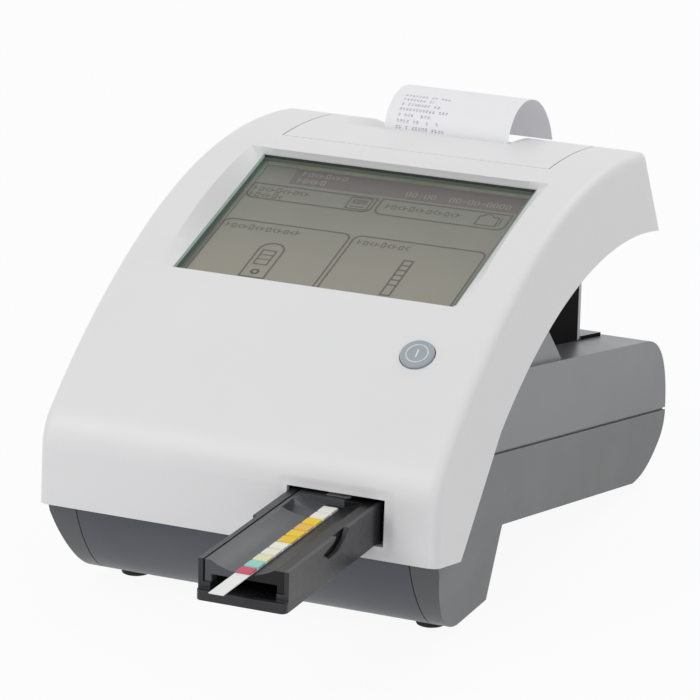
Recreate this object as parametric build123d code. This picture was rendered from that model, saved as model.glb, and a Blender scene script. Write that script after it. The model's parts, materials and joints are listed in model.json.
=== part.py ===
from build123d import *
import os
from math import atan2, cos, degrees, pi, radians, sin, tan

# Desktop urine analyzer: a white arched cover over a dark sloping base, with a touch
# display, a thermal printer behind it and a motorised test table in the front face.
# Drawn in millimetres: X across the case, Y from front to back, Z up from the desk.
# Outline points are (y, z) pairs in side view, with y = 0 at the middle of the case.

os.makedirs("parts", exist_ok=True)

# ---------------------------------------------------------------- driving sizes
# Case
case_width = 171.0
case_front = -136.0
case_back = 136.0
fit = 0.3                          # gap between pieces that are fitted together
slip = 0.6                         # gap beside pieces that slide

# Cover outline, from the front lip over the crown to the tail
cover_wall = 2.5
cover_draft = 1.2                  # how far each side leans in from bottom to top
cover_edge_radius = 4.5
lip_height = 41.6
brow_height = 64.0
brow_end = (-128.0, 80.0)
crown_mid = (-40.0, 136.5)
crown_top = (55.0, 155.8)
tail_top = (95.0, 152.7)
tail_low = (118.2, 113.0)
arch_top = (30.0, 117.9)
arch_front = (-70.0, 77.5)
arch_foot = (-110.0, 36.4)

# Base, a slab that falls towards the back with a pedestal under its front
base_wall = 3.0
base_inset = 1.6                   # how far the base side stands in from the cover side
base_slope = 11.3                  # degrees
deck_height = 87.3                 # slab surfaces measured at y = 0
split_height = 55.0
belly_height = 23.7
groove = 1.0
tail_radius_top = 27.0
chin_top = (-131.0, 45.0)
chin_mid = (-117.0, 17.0)
chin_low = (-93.0, 3.2)
pedestal_back = -62.0
pedestal_taper = 6.4
panel_inset = 14.0                 # from the case side to the edge of the pedestal panel
fin_foot_y = 5.4
fin_top_z = 112.0
fin_reach = 25.0                   # from the chin back to the front end of the side fins
core_inset = 21.5                  # from the case side to the core under the cover
core_wall = 2.2
core_top = 120.7
core_back = 73.0
raised_deck = 1.8
raised_deck_back = 103.0
shroud_bottom = 121.0
shroud_thickness = 2.0
back_panel_thickness = 4.4

# Feet
foot_radius = 6.0
front_foot_inset = 20.5            # from the case side
front_foot_y = -88.0
rear_foot_inset = 23.5
rear_foot_y = 97.0
sole_inset = 28.5
sole_thickness = 1.8

# Display
glass_inset = 24.35                # from the case side to the edge of the glass
glass_length = 92.7
glass_thickness = 3.0
glass_front = (-64.7, 123.4)
glass_tilt = 17.0                  # degrees
glass_margin = 0.35
gasket_thickness = 0.6
bezel_flare = 5.5
window_side = 2.6                  # ledge that carries the glass
pad_depth = 6.0
lcd_thickness = 4.0
lcd_frame_thickness = 1.8

# Power button
button_radius = 7.0
button_y = -88.9
button_inset = 29.1                # from the case side to the middle of the button
button_proud = 1.1
button_travel = 1.0
stem_length = 4.0
switch_height = 3.5
switch_post_x = 10.0

# Test table and its drive
table_inset = 42.7                 # from the case side to the middle of the table
table_width = 36.6
table_bottom = 48.4
table_height = 15.6
table_wall = 2.0
table_front = -219.4
table_length = 135.0
table_travel = 84.0
lip_length = 2.6
table_lip_height = 4.0
ledge_top = 55.0
mouth_margin = 2.2
insert_window = 58.0
strip_width = 6.0
strip_length = 104.0
strip_thickness = 0.4
strip_end = -139.0
pad_count = 11
pad_pitch = 7.45
pad_thickness = 0.6
rack_module = 0.8
pinion_teeth = 15
reduction_module = 0.5
reduction_teeth = 36
motor_teeth = 12
drive_y = -100.0
shaft_radius = 1.5
spindle_radius = 0.75
bearing = 0.05                     # radial play of a shaft in its bearing

# Printer
lid_inset = 25.5                   # from the case side to the edge of the lid
lid_front = 40.8
lid_seam = 0.6
lid_low = 147.4
roll_radius = 18.0
roll_length = 57.0
roll_centre = (50.5, 121.5)
platen_radius = 4.8
platen_centre = (69.5, 141.0)
platen_teeth = 20
printer_motor_teeth = 10
paper_thickness = 0.25
printer_motor_radius = 7.2
head_pin_radius = 1.0
paper_y = 74.45

# Batteries
cell_radius = 7.25
cell_length = 50.5
cell_pitch = 15.6
cell_count = 6
door_centre_y = 36.0
door_thickness = 2.6
door_half_length = 28.0

# ---------------------------------------------------------------- values that follow
case_half = case_width / 2
core_half_width = case_half - core_inset
panel_half_width = case_half - panel_inset
glass_width = 2 * (case_half - glass_inset)
lid_half_width = case_half - lid_inset
button_x = case_half - button_inset
table_x = case_half - table_inset
front_foot = (case_half - front_foot_inset, front_foot_y)
rear_foot = (case_half - rear_foot_inset, rear_foot_y)
sole_half_width = case_half - sole_inset
base_half = case_half - base_inset
narrow_half = case_half - cover_wall - cover_draft / 2 - slip
inner_half = narrow_half - base_wall
lip_point = (case_front, lip_height)
brow_start = (case_front + 0.8, brow_height)
table_left = table_x - table_width / 2
table_right = table_x + table_width / 2
table_top = table_bottom + table_height
table_back = table_front + table_length
plate_top = table_bottom - fit
shroud_top = shroud_bottom + shroud_thickness
flange_top = -cover_wall - 0.4     # depths below the skin, along the button's axis
stem_low = flange_top - stem_length
switch_board_top = stem_low - button_travel - 0.2 - switch_height


def sloped(height, y):
    """Height of a base surface at y, for its height at y = 0."""
    return height - y * tan(radians(base_slope))


# ---------------------------------------------------------------- helpers
def block(x0, x1, y0, y1, z0, z1):
    """Box between two corners."""
    size = Box(x1 - x0, y1 - y0, z1 - z0)
    return Pos((x0 + x1) / 2, (y0 + y1) / 2, (z0 + z1) / 2) * size


def side_prism(edges, half_width, centre_x=0.0):
    """Outline drawn in side view, swept evenly to both sides along X."""
    face = Plane.YZ * make_face(edges)
    return Pos(centre_x, 0, 0) * extrude(face, amount=half_width, both=True)


def side_polygon(points, half_width, centre_x=0.0):
    """Straight-sided outline in side view, swept along X."""
    return side_prism(Polyline(*points, close=True), half_width, centre_x)


def front_polygon(points, y0, y1):
    """Outline of (x, z) points seen from the front, swept from y0 to y1."""
    face = Plane.XZ * make_face(Polyline(*points, close=True))
    return Pos(0, y0, 0) * extrude(face, amount=-(y1 - y0))


def x_rod(radius, x0, x1, centre):
    """Round bar along X about a (y, z) centre."""
    bar = Rot(0, 90, 0) * Cylinder(radius, x1 - x0)
    return Pos((x0 + x1) / 2, centre[0], centre[1]) * bar


def z_rod(radius, x, y, z0, z1):
    """Upright round bar."""
    return Pos(x, y, (z0 + z1) / 2) * Cylinder(radius, z1 - z0)


def arc_chain(start, heading, points):
    """Arcs through the points, each leaving along the end of the one before."""
    arcs = []
    here = start
    for point in points:
        arc = TangentArc(here, point, tangent=heading)
        arcs.append(arc)
        here = point
        heading = arc % 1
    return arcs


def gear(module, teeth, x0, x1, centre, bore, phase):
    """Spur gear along X; phase is the angle of one tooth from +Y towards +Z. Bore 0 is solid."""
    pitch_radius = module * teeth / 2
    root = pitch_radius - 1.2 * module
    tip = pitch_radius + 0.8 * module
    step = 2 * pi / teeth
    points = []
    for tooth in range(teeth):
        middle = radians(phase) + tooth * step
        for radius, share in ((root, -0.28), (tip, -0.12), (tip, 0.12), (root, 0.28)):
            angle = middle + share * step
            points.append((centre[0] + radius * cos(angle), centre[1] + radius * sin(angle)))
    wheel = side_polygon(points, (x1 - x0) / 2, (x0 + x1) / 2)
    if bore > 0:
        wheel -= x_rod(bore, x0 - 1, x1 + 1, centre)
    return wheel


def largest(shape):
    """Main solid of a shape, without the loose slivers of a cut."""
    return max(shape.solids(), key=lambda piece: piece.volume)


# ---------------------------------------------------------------- cover outline
def crown_arcs():
    """Front, brow and crown of the cover in side view."""
    points = [brow_end, crown_mid, crown_top, tail_top]
    return arc_chain(brow_start, (0.012, 1), points)


def crown_point(y):
    """Point and slope of the crown above y."""
    for arc in crown_arcs():
        if (arc @ 0).X <= y <= (arc @ 1).X:
            low, high = 0.0, 1.0
            for _ in range(40):
                middle = (low + high) / 2
                if (arc @ middle).X < y:
                    low = middle
                else:
                    high = middle
            return (arc @ low).Y, degrees(atan2((arc % low).Y, (arc % low).X))
    return tail_top[1], 0.0


def arch_edges(drop=0.0):
    """Lower side edge of the cover, from the tail forward to the foot."""
    lower = [(y, z - drop) for y, z in (tail_low, arch_top, arch_front, arch_foot)]
    arcs = arc_chain(lower[0], (-0.95, 0.24), lower[1:3])
    return arcs + [Line(lower[2], lower[3])]


def draft_prism(inset):
    """Block whose sides lean in like the cover sides."""
    low = case_half - inset
    high = low - cover_draft
    tall = crown_top[1] + 20
    corners = [(-low, lip_height), (low, lip_height), (high, tall), (-high, tall)]
    foot = [(-low, 0), (low, 0)]
    return front_polygon(foot + corners[1:] + corners[:1], case_front - 5, case_back + 5)


def cover_body():
    """Outside shape of the cover as one solid."""
    edges = [Line(arch_foot, lip_point), Line(lip_point, brow_start)]
    edges += crown_arcs()
    edges += [Line(tail_top, tail_low)]
    edges += arch_edges()
    body = side_prism(edges, case_half) & draft_prism(0)
    rims = [e for e in body.edges() if on_rim(e)]
    return fillet(rims, cover_edge_radius)


def on_rim(edge):
    """True for the long side edges of the face, crown and tail."""
    middle = edge.position_at(0.5)
    ends = (edge.position_at(0), edge.position_at(1))
    if min(abs(point.X) for point in ends) < case_half - cover_draft - 0.5:
        return False
    if abs(ends[0].X - ends[1].X) > case_half:
        return False
    low = lip_height + (middle.Y - case_front) * 0.9
    return middle.Z > min(low + 6, 0.5 * (tail_top[1] + tail_low[1]) - 1)


def cover_hollow():
    """Space inside the cover, open below."""
    front = case_front + cover_wall
    below = -20.0
    edges = [Line((front, below), (brow_start[0] + cover_wall, brow_height))]
    points = []
    for arc in crown_arcs():
        end = arc @ 1
        along = arc % 1
        points.append((end.X + along.Y * cover_wall, end.Y - along.X * cover_wall))
    edges += arc_chain((brow_start[0] + cover_wall, brow_height), (0.012, 1), points)
    lean = (tail_low[0] - tail_top[0]) / (tail_top[1] - tail_low[1])
    inner_top = points[-1]
    inner_back = inner_top[0] + (inner_top[1] - below) * lean
    edges += [Line(inner_top, (inner_back, below)), Line((inner_back, below), (front, below))]
    return side_prism(edges, case_half) & draft_prism(cover_wall)



# ---------------------------------------------------------------- frames of reference
crown_at_button, button_lean = crown_point(button_y)
display = Plane(
    origin=(0, glass_front[0], glass_front[1]),
    x_dir=(1, 0, 0),
    z_dir=(0, -sin(radians(glass_tilt)), cos(radians(glass_tilt))),
)
button_plane = Plane(
    origin=(button_x, button_y, crown_at_button),
    x_dir=(1, 0, 0),
    z_dir=(0, -sin(radians(button_lean)), cos(radians(button_lean))),
)
belly = Plane(
    origin=(0, door_centre_y, sloped(belly_height, door_centre_y)),
    x_dir=(1, 0, 0),
    z_dir=(0, sin(radians(base_slope)), cos(radians(base_slope))),
)


def on_display(x0, x1, v0, v1, d0, d1):
    """Box on the display plane: x across, v up the glass, d out of its face."""
    return display * block(x0, x1, v0, v1, d0, d1)


def crown_height(y):
    """Height of the outer skin above y."""
    return crown_point(y)[0]


def bevel_wedge(side):
    """Slanted bank from the glass edge up to the skin, on one side of the display."""
    inner = side * (glass_width / 2 + glass_margin)
    outer = inner + side * bezel_flare
    stations = 6
    length = glass_length * cos(radians(glass_tilt))
    sections = []
    for index in range(stations + 1):
        y = glass_front[0] + length * index / stations
        low = glass_front[1] + (y - glass_front[0]) * tan(radians(glass_tilt))
        rise = crown_height(y) - low
        far = (outer + side * bezel_flare, low + 2 * rise)
        corners = [(inner - side * 4, low), (inner, low), far, (inner - side * 4, far[1])]
        sections.append(Plane.XZ.offset(-y) * make_face(Polyline(*corners, close=True)))
    return loft(sections, ruled=True)


def lid_zone(clearance):
    """Region of the skin that the printer lid takes, grown by a clearance."""
    half = lid_half_width + clearance
    return block(-half, half, lid_front - clearance, case_back, lid_low - clearance, 200)


# ---------------------------------------------------------------- cover pieces
def make_top_cover(body, hollow):
    """White cover with the display recess, button hole and table mouth."""
    half_glass = glass_width / 2 + glass_margin
    pad_half = half_glass + bezel_flare + 2.5
    pad = on_display(-pad_half, pad_half, -6, glass_length + 6, -pad_depth, 14)
    shell = body - hollow
    shell += pad & body
    seat = -glass_thickness - gasket_thickness
    low_v = -glass_margin
    high_v = glass_length + glass_margin
    shell -= on_display(-half_glass, half_glass, low_v, high_v, seat, 20)
    window = half_glass - glass_margin - window_side
    shell -= on_display(-window, window, window_side, glass_length - window_side, -20, 5)
    for side in (-1, 1):
        shell -= bevel_wedge(side)
    shell -= button_plane * Cylinder(button_radius + fit, 12)
    post_top = -cover_wall + 0.5
    post_length = post_top - switch_board_top
    for x in (-switch_post_x, switch_post_x):
        shell += button_plane * Pos(x, 0, switch_board_top + post_length / 2) * Cylinder(1.6, post_length)
    mouth_low = table_bottom - 1.4
    mouth_high = table_top + 1.8
    left = table_left - mouth_margin
    right = table_right + mouth_margin
    shell -= block(left, right, case_front - 5, case_front + 8, mouth_low, mouth_high)
    shell -= lid_zone(lid_seam)
    for x in (-boss_x, boss_x):
        for y in boss_rows:
            post = z_rod(3.5, x, y, shroud_top, crown_height(y)) & body
            shell += post - z_rod(1.3, x, y, shroud_top - 1, shroud_top + 12)
    for side in (-1, 1):
        shell -= x_rod(hinge_radius + 0.05, side * lid_half_width - 4, side * lid_half_width + 4, lid_pivot)
    return shell


boss_x = case_half - 14.0
boss_rows = (24.0, 88.0)
hinge_radius = 0.8
lid_pivot = (lid_front + 1.2, crown_height(lid_front) - 1.3)
recess_left = -46.8
recess_slot_left = -31.5
recess_right = 30.5
recess_front = 72.5
recess_floor = 149.4
slot_half = roll_length / 2 + 0.8


def make_printer_lid(body, hollow):
    """Lid over the paper roll, with the sunk paper exit."""
    skin = (body - hollow) & lid_zone(0)
    floor_low = recess_floor - 2.0
    bed = block(recess_left - 2, recess_right + 3, recess_front - 2, case_back, floor_low, 200)
    skin += bed & body
    trough = [
        (recess_left, 180),
        (recess_left, crown_height(recess_front)),
        (recess_slot_left, recess_floor),
        (recess_right - 1, recess_floor),
        (recess_right, 180),
    ]
    skin -= front_polygon(trough, recess_front, case_back)
    slot_front = paper_y - 0.9
    skin -= block(-slot_half, slot_half, slot_front, paper_y + 1.4, floor_low - 1, recess_floor + 1)
    for side in (-1, 1):
        skin -= x_rod(hinge_radius + 0.05, side * lid_half_width - 4, side * lid_half_width + 4, lid_pivot)
    return skin


def make_lid_pins():
    """Two short pins at the front corners of the lid."""
    pins = []
    for side in (-1, 1):
        ends = sorted((side * (lid_half_width - 3.5), side * (lid_half_width + 3.5)))
        pins.append(x_rod(hinge_radius, ends[0], ends[1], lid_pivot))
    return Compound(pins)


def make_display():
    """Glass, gasket, panel and its frame, stacked down from the recess."""
    half = glass_width / 2
    glass = on_display(-half, half, 0, glass_length, -glass_thickness, 0)
    low = -glass_thickness - gasket_thickness
    gasket = on_display(-half, half, 0, glass_length, low, -glass_thickness)
    edge = window_side
    gasket -= on_display(-half + edge, half - edge, edge, glass_length - edge, low - 1, 1)
    top = -pad_depth - fit
    panel_low = top - lcd_thickness
    panel = on_display(-half + 1, half - 1, 1, glass_length - 1, panel_low, top)
    frame_half = half + 4
    frame_low = panel_low - lcd_frame_thickness
    frame = on_display(-frame_half, frame_half, -3, glass_length + 3, frame_low, -pad_depth)
    frame -= on_display(-half + 0.7, half - 0.7, 0.7, glass_length - 0.7, panel_low, 0)
    frame -= on_display(-half + 12, half - 12, 12, glass_length - 12, -30, 0)
    return {"touch_glass": glass, "glass_gasket": gasket, "lcd_panel": panel, "lcd_frame": frame}


def make_button():
    """Round push button, and the switch that it presses on its small board."""
    cap = button_plane * Pos(0, 0, (button_proud + flange_top) / 2) * Cylinder(
        button_radius, button_proud - flange_top
    )
    cap = fillet(cap.edges().filter_by(GeomType.CIRCLE).sort_by(Axis.Z)[-1:], 0.6)
    cap += button_plane * Pos(0, 0, flange_top - 0.5) * Cylinder(button_radius + 1.2, 1.0)
    cap += button_plane * Pos(0, 0, (flange_top + stem_low) / 2) * Cylinder(1.6, stem_length)
    switch = button_plane * Pos(0, 0, switch_board_top + switch_height / 2) * Box(6, 6, switch_height)
    switch += button_plane * Pos(0, 0, switch_board_top - 0.8) * Box(26, 18, 1.6)
    return {"power_button": cap, "button_switch": switch}


# ---------------------------------------------------------------- base pieces
def base_edges(inset=0.0):
    """Side outline of the base, with the fins that stand up inside the cover."""
    deck = deck_height - inset
    belly_line = belly_height + inset
    diagonal = inset * 0.7
    back = case_back - inset
    falling = (1, -tan(radians(base_slope)))
    start = (chin_top[0] + inset, chin_top[1])
    middle = (chin_mid[0] + diagonal, chin_mid[1] + diagonal)
    floor = (chin_low[0], chin_low[1] + inset)
    corner = (pedestal_back - inset, floor[1])
    heel = (corner[0], sloped(belly_line, corner[0]))
    belly_end = (case_back - 40.0, sloped(belly_line, case_back - 40.0))
    bend = (case_back - 10.0 - diagonal, 12.6 + diagonal)
    split_end = (back, sloped(split_height, case_back))
    deck_end_y = case_back - tail_radius_top - 1.5
    deck_end = (deck_end_y, sloped(deck, deck_end_y))
    fin_foot = (fin_foot_y - inset, sloped(deck, fin_foot_y - inset))
    fin_top = (fin_foot[0] - (fin_top_z - fin_foot[1]), fin_top_z)
    front = (chin_top[0] + fin_reach, chin_top[1] + 9.0)
    return [
        Spline(start, middle, floor, tangents=((0.25, -1), (1, -0.12))),
        Line(floor, corner),
        Line(corner, heel),
        Line(heel, belly_end),
        Spline(belly_end, bend, split_end, tangents=((1, -0.02), (0, 1))),
        Spline(split_end, deck_end, tangents=((0, 1), (-falling[0], -falling[1]))),
        Line(deck_end, fin_foot),
        Line(fin_foot, fin_top),
        Line(fin_top, (fin_top[0] - 30, fin_top_z - 8)),
        Line((fin_top[0] - 30, fin_top_z - 8), (arch_front[0] - 8, arch_front[1] + 5)),
        Line((arch_front[0] - 8, arch_front[1] + 5), front),
        Line(front, (front[0], chin_top[1])),
        Line((front[0], chin_top[1]), start),
    ]


def taper_prism(inset):
    """Cross-section of the base: upright sides that lean in on the pedestal."""
    half = base_half - inset
    knee = sloped(belly_height, pedestal_back)
    low = half - pedestal_taper
    corners = [(-low, 0), (low, 0), (half, knee), (half, 200), (-half, 200), (-half, knee)]
    pedestal = front_polygon(corners, case_front, pedestal_back + 1)
    slab = block(-half, half, pedestal_back + 0.5, case_back + 5, -5, 200)
    return pedestal + slab


def base_solid():
    """Filled base: full width below the cover edge, narrower where it stands inside."""
    narrow = side_prism(base_edges(), narrow_half)
    wide = side_prism(base_edges(), base_half)
    above = arch_edges(0.6)
    start = above[0] @ 0
    foot = above[-1] @ 1
    far = case_front - 10
    above += [
        Line(foot, (far, foot.Y + 8)),
        Line((far, foot.Y + 8), (far, 200)),
        Line((far, 200), (case_back + 10, 200)),
        Line((case_back + 10, 200), (case_back + 10, start.Y)),
        Line((case_back + 10, start.Y), start),
    ]
    wide -= side_prism(above, case_half)
    ridge = [
        (case_back, sloped(deck_height, case_back)),
        (case_front, sloped(deck_height, case_front)),
        (case_front, 300),
        (case_back, 300),
    ]
    wide -= side_polygon(ridge, case_half)
    return (narrow + wide) & taper_prism(0)


def base_hollow():
    """Space inside the base, open above the pedestal and inside the core."""
    space = side_prism(base_edges(base_wall), inner_half) & taper_prism(base_wall)
    top_front = chin_top[0] + base_wall
    slant_back = fin_foot_y - (fin_top_z - sloped(deck_height, fin_foot_y)) - 4.0
    space += block(-inner_half, inner_half, top_front, slant_back, chin_top[1] - 6, 200)
    core = core_half_width - core_wall
    space += block(-core, core, slant_back - 1, core_back, split_height + 8, 200)
    return space


def split_slab(low, high):
    """Sloping slab around the parting plane between two offsets from it."""
    y0 = case_front - 20
    y1 = case_back + 20
    points = [
        (y0, sloped(split_height, y0) + low),
        (y1, sloped(split_height, y1) + low),
        (y1, sloped(split_height, y1) + high),
        (y0, sloped(split_height, y0) + high),
    ]
    return side_polygon(points, case_half + 5)


screw_x = case_half - 14.5
screw_rows = (-40.0, 84.0)
rib = 2.0
deck_at_core = sloped(deck_height, core_back)
panel_screw_x = core_half_width - 8.0
panel_screw_rows = (deck_at_core + 9.3, core_top - 8.7)
board_left = -core_half_width
board_right = table_left - 12.5
board_front = -90.0
board_back = -18.0
board_bottom = 50.0
board_thickness = 1.6
post_inset = 6.0
board_posts = tuple(
    (x, y)
    for x in (board_left + post_inset, board_right - post_inset)
    for y in (board_front + post_inset, board_back - post_inset)
)
plate_bottom = plate_top - 2.4
plate_posts = ((table_left + 0.5, -124.0), (table_right - 0.5, -124.0),
               (table_left + 0.5, -12.0), (table_right - 0.5, -12.0))


def pedestal_core(gap):
    """Space behind the panel of the pedestal, set back by a gap."""
    top = (chin_top[0] + 9 + gap, 60)
    waist = (chin_mid[0] + 7 + gap, 22 + gap)
    return side_polygon([(-80, 4.5 + gap), (-80, 60), top, waist], case_half)


def make_base(solid, hollow):
    """Upper and lower halves of the base and the panel in the pedestal front."""
    shell = solid - hollow
    lower = shell & split_slab(-200, 0)
    rim = split_slab(-groove, 0) - block(
        -(base_half - groove), base_half - groove, case_front, case_back - groove, -50, 200
    )
    lower -= rim
    for x, y in board_posts:
        lower += z_rod(3.5, x, y, 0, board_bottom) & solid
    for x, y in plate_posts:
        lower += z_rod(3.0, x, y, 0, plate_bottom) & solid
    upper = shell & split_slab(0, 200)
    core = side_polygon(
        [
            (fin_foot_y - 20, fin_top_z - 2),
            (fin_foot_y - 20, core_top),
            (core_back, core_top),
            (core_back, sloped(deck_height, core_back) - 1),
            (fin_foot_y, sloped(deck_height, fin_foot_y) - 1),
        ],
        core_half_width,
    )
    inner = core_half_width - core_wall
    core -= block(-inner, inner, case_front, case_back, 0, 200)
    upper += core
    raised = [
        (core_back + back_panel_thickness + fit, -1.0),
        (raised_deck_back, -1.0),
        (raised_deck_back, raised_deck),
        (core_back + back_panel_thickness + fit, raised_deck),
    ]
    upper += side_polygon([(y, sloped(deck_height, y) + z) for y, z in raised], core_half_width)
    for side in (-1, 1):
        x = side * screw_x
        for y in screw_rows:
            joint = sloped(split_height, y)
            lower += z_rod(4.0, x, y, 0, joint - 0.8) & solid
            lower -= z_rod(1.7, x, y, 0, joint + 1)
            lower -= z_rod(3.2, x, y, -5, sloped(belly_height, y) + 3.4)
            upper += z_rod(4.0, x, y, joint - 0.6, sloped(deck_height, y) - 1) & solid
            x0, x1 = sorted((x, side * (inner_half + 1)))
            upper += block(x0, x1, y - rib / 2, y + rib / 2, joint + 2, sloped(deck_height, y) - 1)
            upper -= z_rod(1.5, x, y, joint - 2, joint + 12)
    zone = block(-panel_half_width, panel_half_width, case_front, -80, 4.5, chin_top[1] - 1.5)
    panel = lower & zone & block(-200, 200, case_front, -60, 0, 200)
    panel = largest(panel - pedestal_core(0))
    grown = block(
        -panel_half_width - 0.4, panel_half_width + 0.4, case_front, -80, 4.1, chin_top[1] - 1.1
    )
    lower -= grown - pedestal_core(0.4)
    door_half = cell_pitch * cell_count / 2 + 0.6
    opening = belly * block(-door_half, door_half, -door_half_length, door_half_length, -6, base_wall + 2)
    lower -= opening
    for side in (-1, 1):
        x0, x1 = sorted((side * (panel_screw_x - 4), side * (inner + 1)))
        for z in panel_screw_rows:
            upper += block(x0, x1, core_back - 9, core_back, z - 4, z + 4)
            hole = Rot(90, 0, 0) * Cylinder(1.5, 20)
            upper -= Pos(side * panel_screw_x, core_back, z) * hole
    return largest(upper), largest(lower), panel


def make_feet(lower):
    """Sole plate and the four feet."""
    floor = chin_low[1]
    sole = block(
        -sole_half_width, sole_half_width, chin_low[0] + 1, pedestal_back - 3,
        floor - sole_thickness, floor,
    )
    sole = fillet(sole.edges().filter_by(Axis.Z), 3)
    feet = []
    for side in (-1, 1):
        feet.append(z_rod(foot_radius, side * front_foot[0], front_foot[1], 0, floor))
        pad = z_rod(foot_radius, side * rear_foot[0], rear_foot[1], 0, 12)
        under = [
            (rear_foot[1] - 20, sloped(belly_height, rear_foot[1] - 20)),
            (rear_foot[1] - 20, 40),
            (rear_foot[1] + 20, 40),
            (rear_foot[1] + 20, sloped(belly_height, rear_foot[1] + 20)),
        ]
        feet.append(largest(pad - side_polygon(under, case_half) - lower))
    return {"sole_plate": sole, "feet": Compound(feet)}


def make_screws():
    """Base screws from below, and shroud screws up into the cover posts."""
    base_screws = []
    for x in (-screw_x, screw_x):
        for y in screw_rows:
            seat = sloped(belly_height, y) + 3.4
            screw = z_rod(2.8, x, y, seat - 2.0, seat)
            screw += z_rod(1.45, x, y, seat, sloped(split_height, y) + 10)
            base_screws.append(screw)
    shroud_screws = []
    for x in (-boss_x, boss_x):
        for y in boss_rows:
            screw = z_rod(2.6, x, y, shroud_bottom - 1.8, shroud_bottom)
            screw += z_rod(1.25, x, y, shroud_bottom, shroud_top + 9)
            shroud_screws.append(screw)
    return {"base_screws": Compound(base_screws), "shroud_screws": Compound(shroud_screws)}


tub_outer_half = roll_length / 2 + 2.2
cradle_inner = roll_radius + fit
cradle_outer = cradle_inner + 1.8


def make_shroud():
    """Dark plate that closes the underside of the overhanging cover."""
    half = case_half - cover_wall - cover_draft - fit
    plate = block(-half, half, -10, 109.0, shroud_bottom, shroud_top)
    hole_front = roll_centre[0] - cradle_outer - fit
    hole_back = roll_centre[0] + cradle_outer + fit
    hole = tub_outer_half + fit
    plate -= block(-hole, hole, hole_front, hole_back, 100, 140)
    for x in (-boss_x, boss_x):
        for y in boss_rows:
            plate -= z_rod(1.5, x, y, 100, 140)
    return plate


inlet_x = core_half_width - 24.0
inlet_z = deck_at_core + 15.3
inlet_half = 5.2
serial_x = -8.0
serial_z = deck_at_core + 17.3
flange_half = (15.4, 5.9)
port_half = (8.4, 4.2)
connector_depth = 7.0              # how far the connectors reach in from the panel
connector_board_top = 102.0


def make_rear_panel():
    """Back panel with its connectors and the board that carries them."""
    y0 = core_back + fit
    y1 = core_back + back_panel_thickness
    inner_face = core_back - connector_depth
    low = deck_at_core + 0.2
    panel = block(-core_half_width, core_half_width, y0, y1, low, core_top)
    panel = fillet(panel.edges().filter_by(Axis.Z).group_by(Axis.Y)[-1], 1.6)
    inlet_hole = 2 * (inlet_half + fit)
    panel -= Pos(inlet_x, y0, inlet_z) * Box(inlet_hole, 20, inlet_hole)
    panel -= Pos(serial_x, y0, serial_z) * Box(2 * (flange_half[0] + fit), 20, 2 * (flange_half[1] + fit))
    inlet = block(
        inlet_x - inlet_half, inlet_x + inlet_half, inner_face, y1 + 0.4,
        inlet_z - inlet_half, inlet_z + inlet_half,
    )
    bore = Rot(90, 0, 0) * Cylinder(3.2, 9)
    inlet -= Pos(inlet_x, y1 + 0.4 - 4.5, inlet_z) * bore
    inlet += Pos(inlet_x, y1 - 5.5, inlet_z) * (Rot(90, 0, 0) * Cylinder(1.0, 8))
    flange = block(
        serial_x - flange_half[0], serial_x + flange_half[0], inner_face, y1,
        serial_z - flange_half[1], serial_z + flange_half[1],
    )
    port = block(
        serial_x - port_half[0], serial_x + port_half[0], y1, y1 + 5,
        serial_z - port_half[1], serial_z + port_half[1],
    )
    port = fillet(port.edges().filter_by(Axis.Y), 1.5)
    port += flange
    board = block(
        14.0 - core_half_width, core_half_width - 12.0, inner_face - board_thickness, inner_face,
        deck_at_core + 4, connector_board_top,
    )
    screws = []
    for x in (-panel_screw_x, panel_screw_x):
        for z in panel_screw_rows:
            head = Pos(x, y1 + 0.9, z) * (Rot(90, 0, 0) * Cylinder(2.6, 1.8))
            shank = Pos(x, y1 - 5, z) * (Rot(90, 0, 0) * Cylinder(1.45, 10))
            screws.append(head + shank)
            panel -= Pos(x, y1 - 4, z) * (Rot(90, 0, 0) * Cylinder(1.5, 30))
    return {
        "back_panel": panel, "power_inlet": inlet, "serial_port": port,
        "connector_board": board, "panel_screws": Compound(screws),
    }


# ---------------------------------------------------------------- electronics and battery
def make_electronics():
    """Main board with its chips, plugs, capacitors and the round beeper."""
    top = board_bottom + board_thickness
    board = block(board_left, board_right, board_front, board_back, board_bottom, top)
    board_width = board_right - board_left
    middle = (board_front + board_back) / 2
    chips = []
    for share, dy, wide, deep, tall in (
        (0.18, -6, 18, 18, 1.8), (0.58, -12, 14, 9, 1.6), (0.55, 14, 12, 12, 1.6),
        (0.13, 16, 10, 14, 6.5), (0.84, 4, 8, 20, 5.0), (0.37, 29, 20, 6, 4.0),
    ):
        x = board_left + share * board_width
        chips.append(Pos(x, middle + dy, top + tall / 2) * Box(wide, deep, tall))
    chips.append(z_rod(6.0, board_left + 0.76 * board_width, middle - 24, top, top + 5))
    return {"main_board": board, "board_parts": Compound(chips)}


def make_battery_bay():
    """Holder, six cells, contacts and the door under the base."""
    half = cell_pitch * cell_count / 2
    low = base_wall
    depth = 2 * cell_radius + 2.4
    reach = cell_length / 2 + 2.8
    holder = belly * block(-half - 2, half + 2, -reach - 1.6, reach + 1.6, low, low + depth + 1.6)
    holder -= belly * block(-half, half, -reach, reach, low - 5, low + depth)
    cells = []
    contacts = []
    for index in range(cell_count):
        x = (index - (cell_count - 1) / 2) * cell_pitch
        rise = low + 1.2 + cell_radius
        cells.append(belly * Pos(x, 0, rise) * (Rot(90, 0, 0) * Cylinder(cell_radius, cell_length)))
        for end in (-1, 1):
            y = end * (cell_length / 2 + 1.4)
            contacts.append(belly * Pos(x, y, rise) * Box(9, 2.6, 9))
    door_reach = door_half_length - fit
    door = belly * block(-half - 0.2, half + 0.2, -door_reach, door_reach, 0, door_thickness)
    return {
        "battery_holder": holder, "battery_cells": Compound(cells),
        "battery_contacts": Compound(contacts), "battery_door": door,
    }


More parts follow.
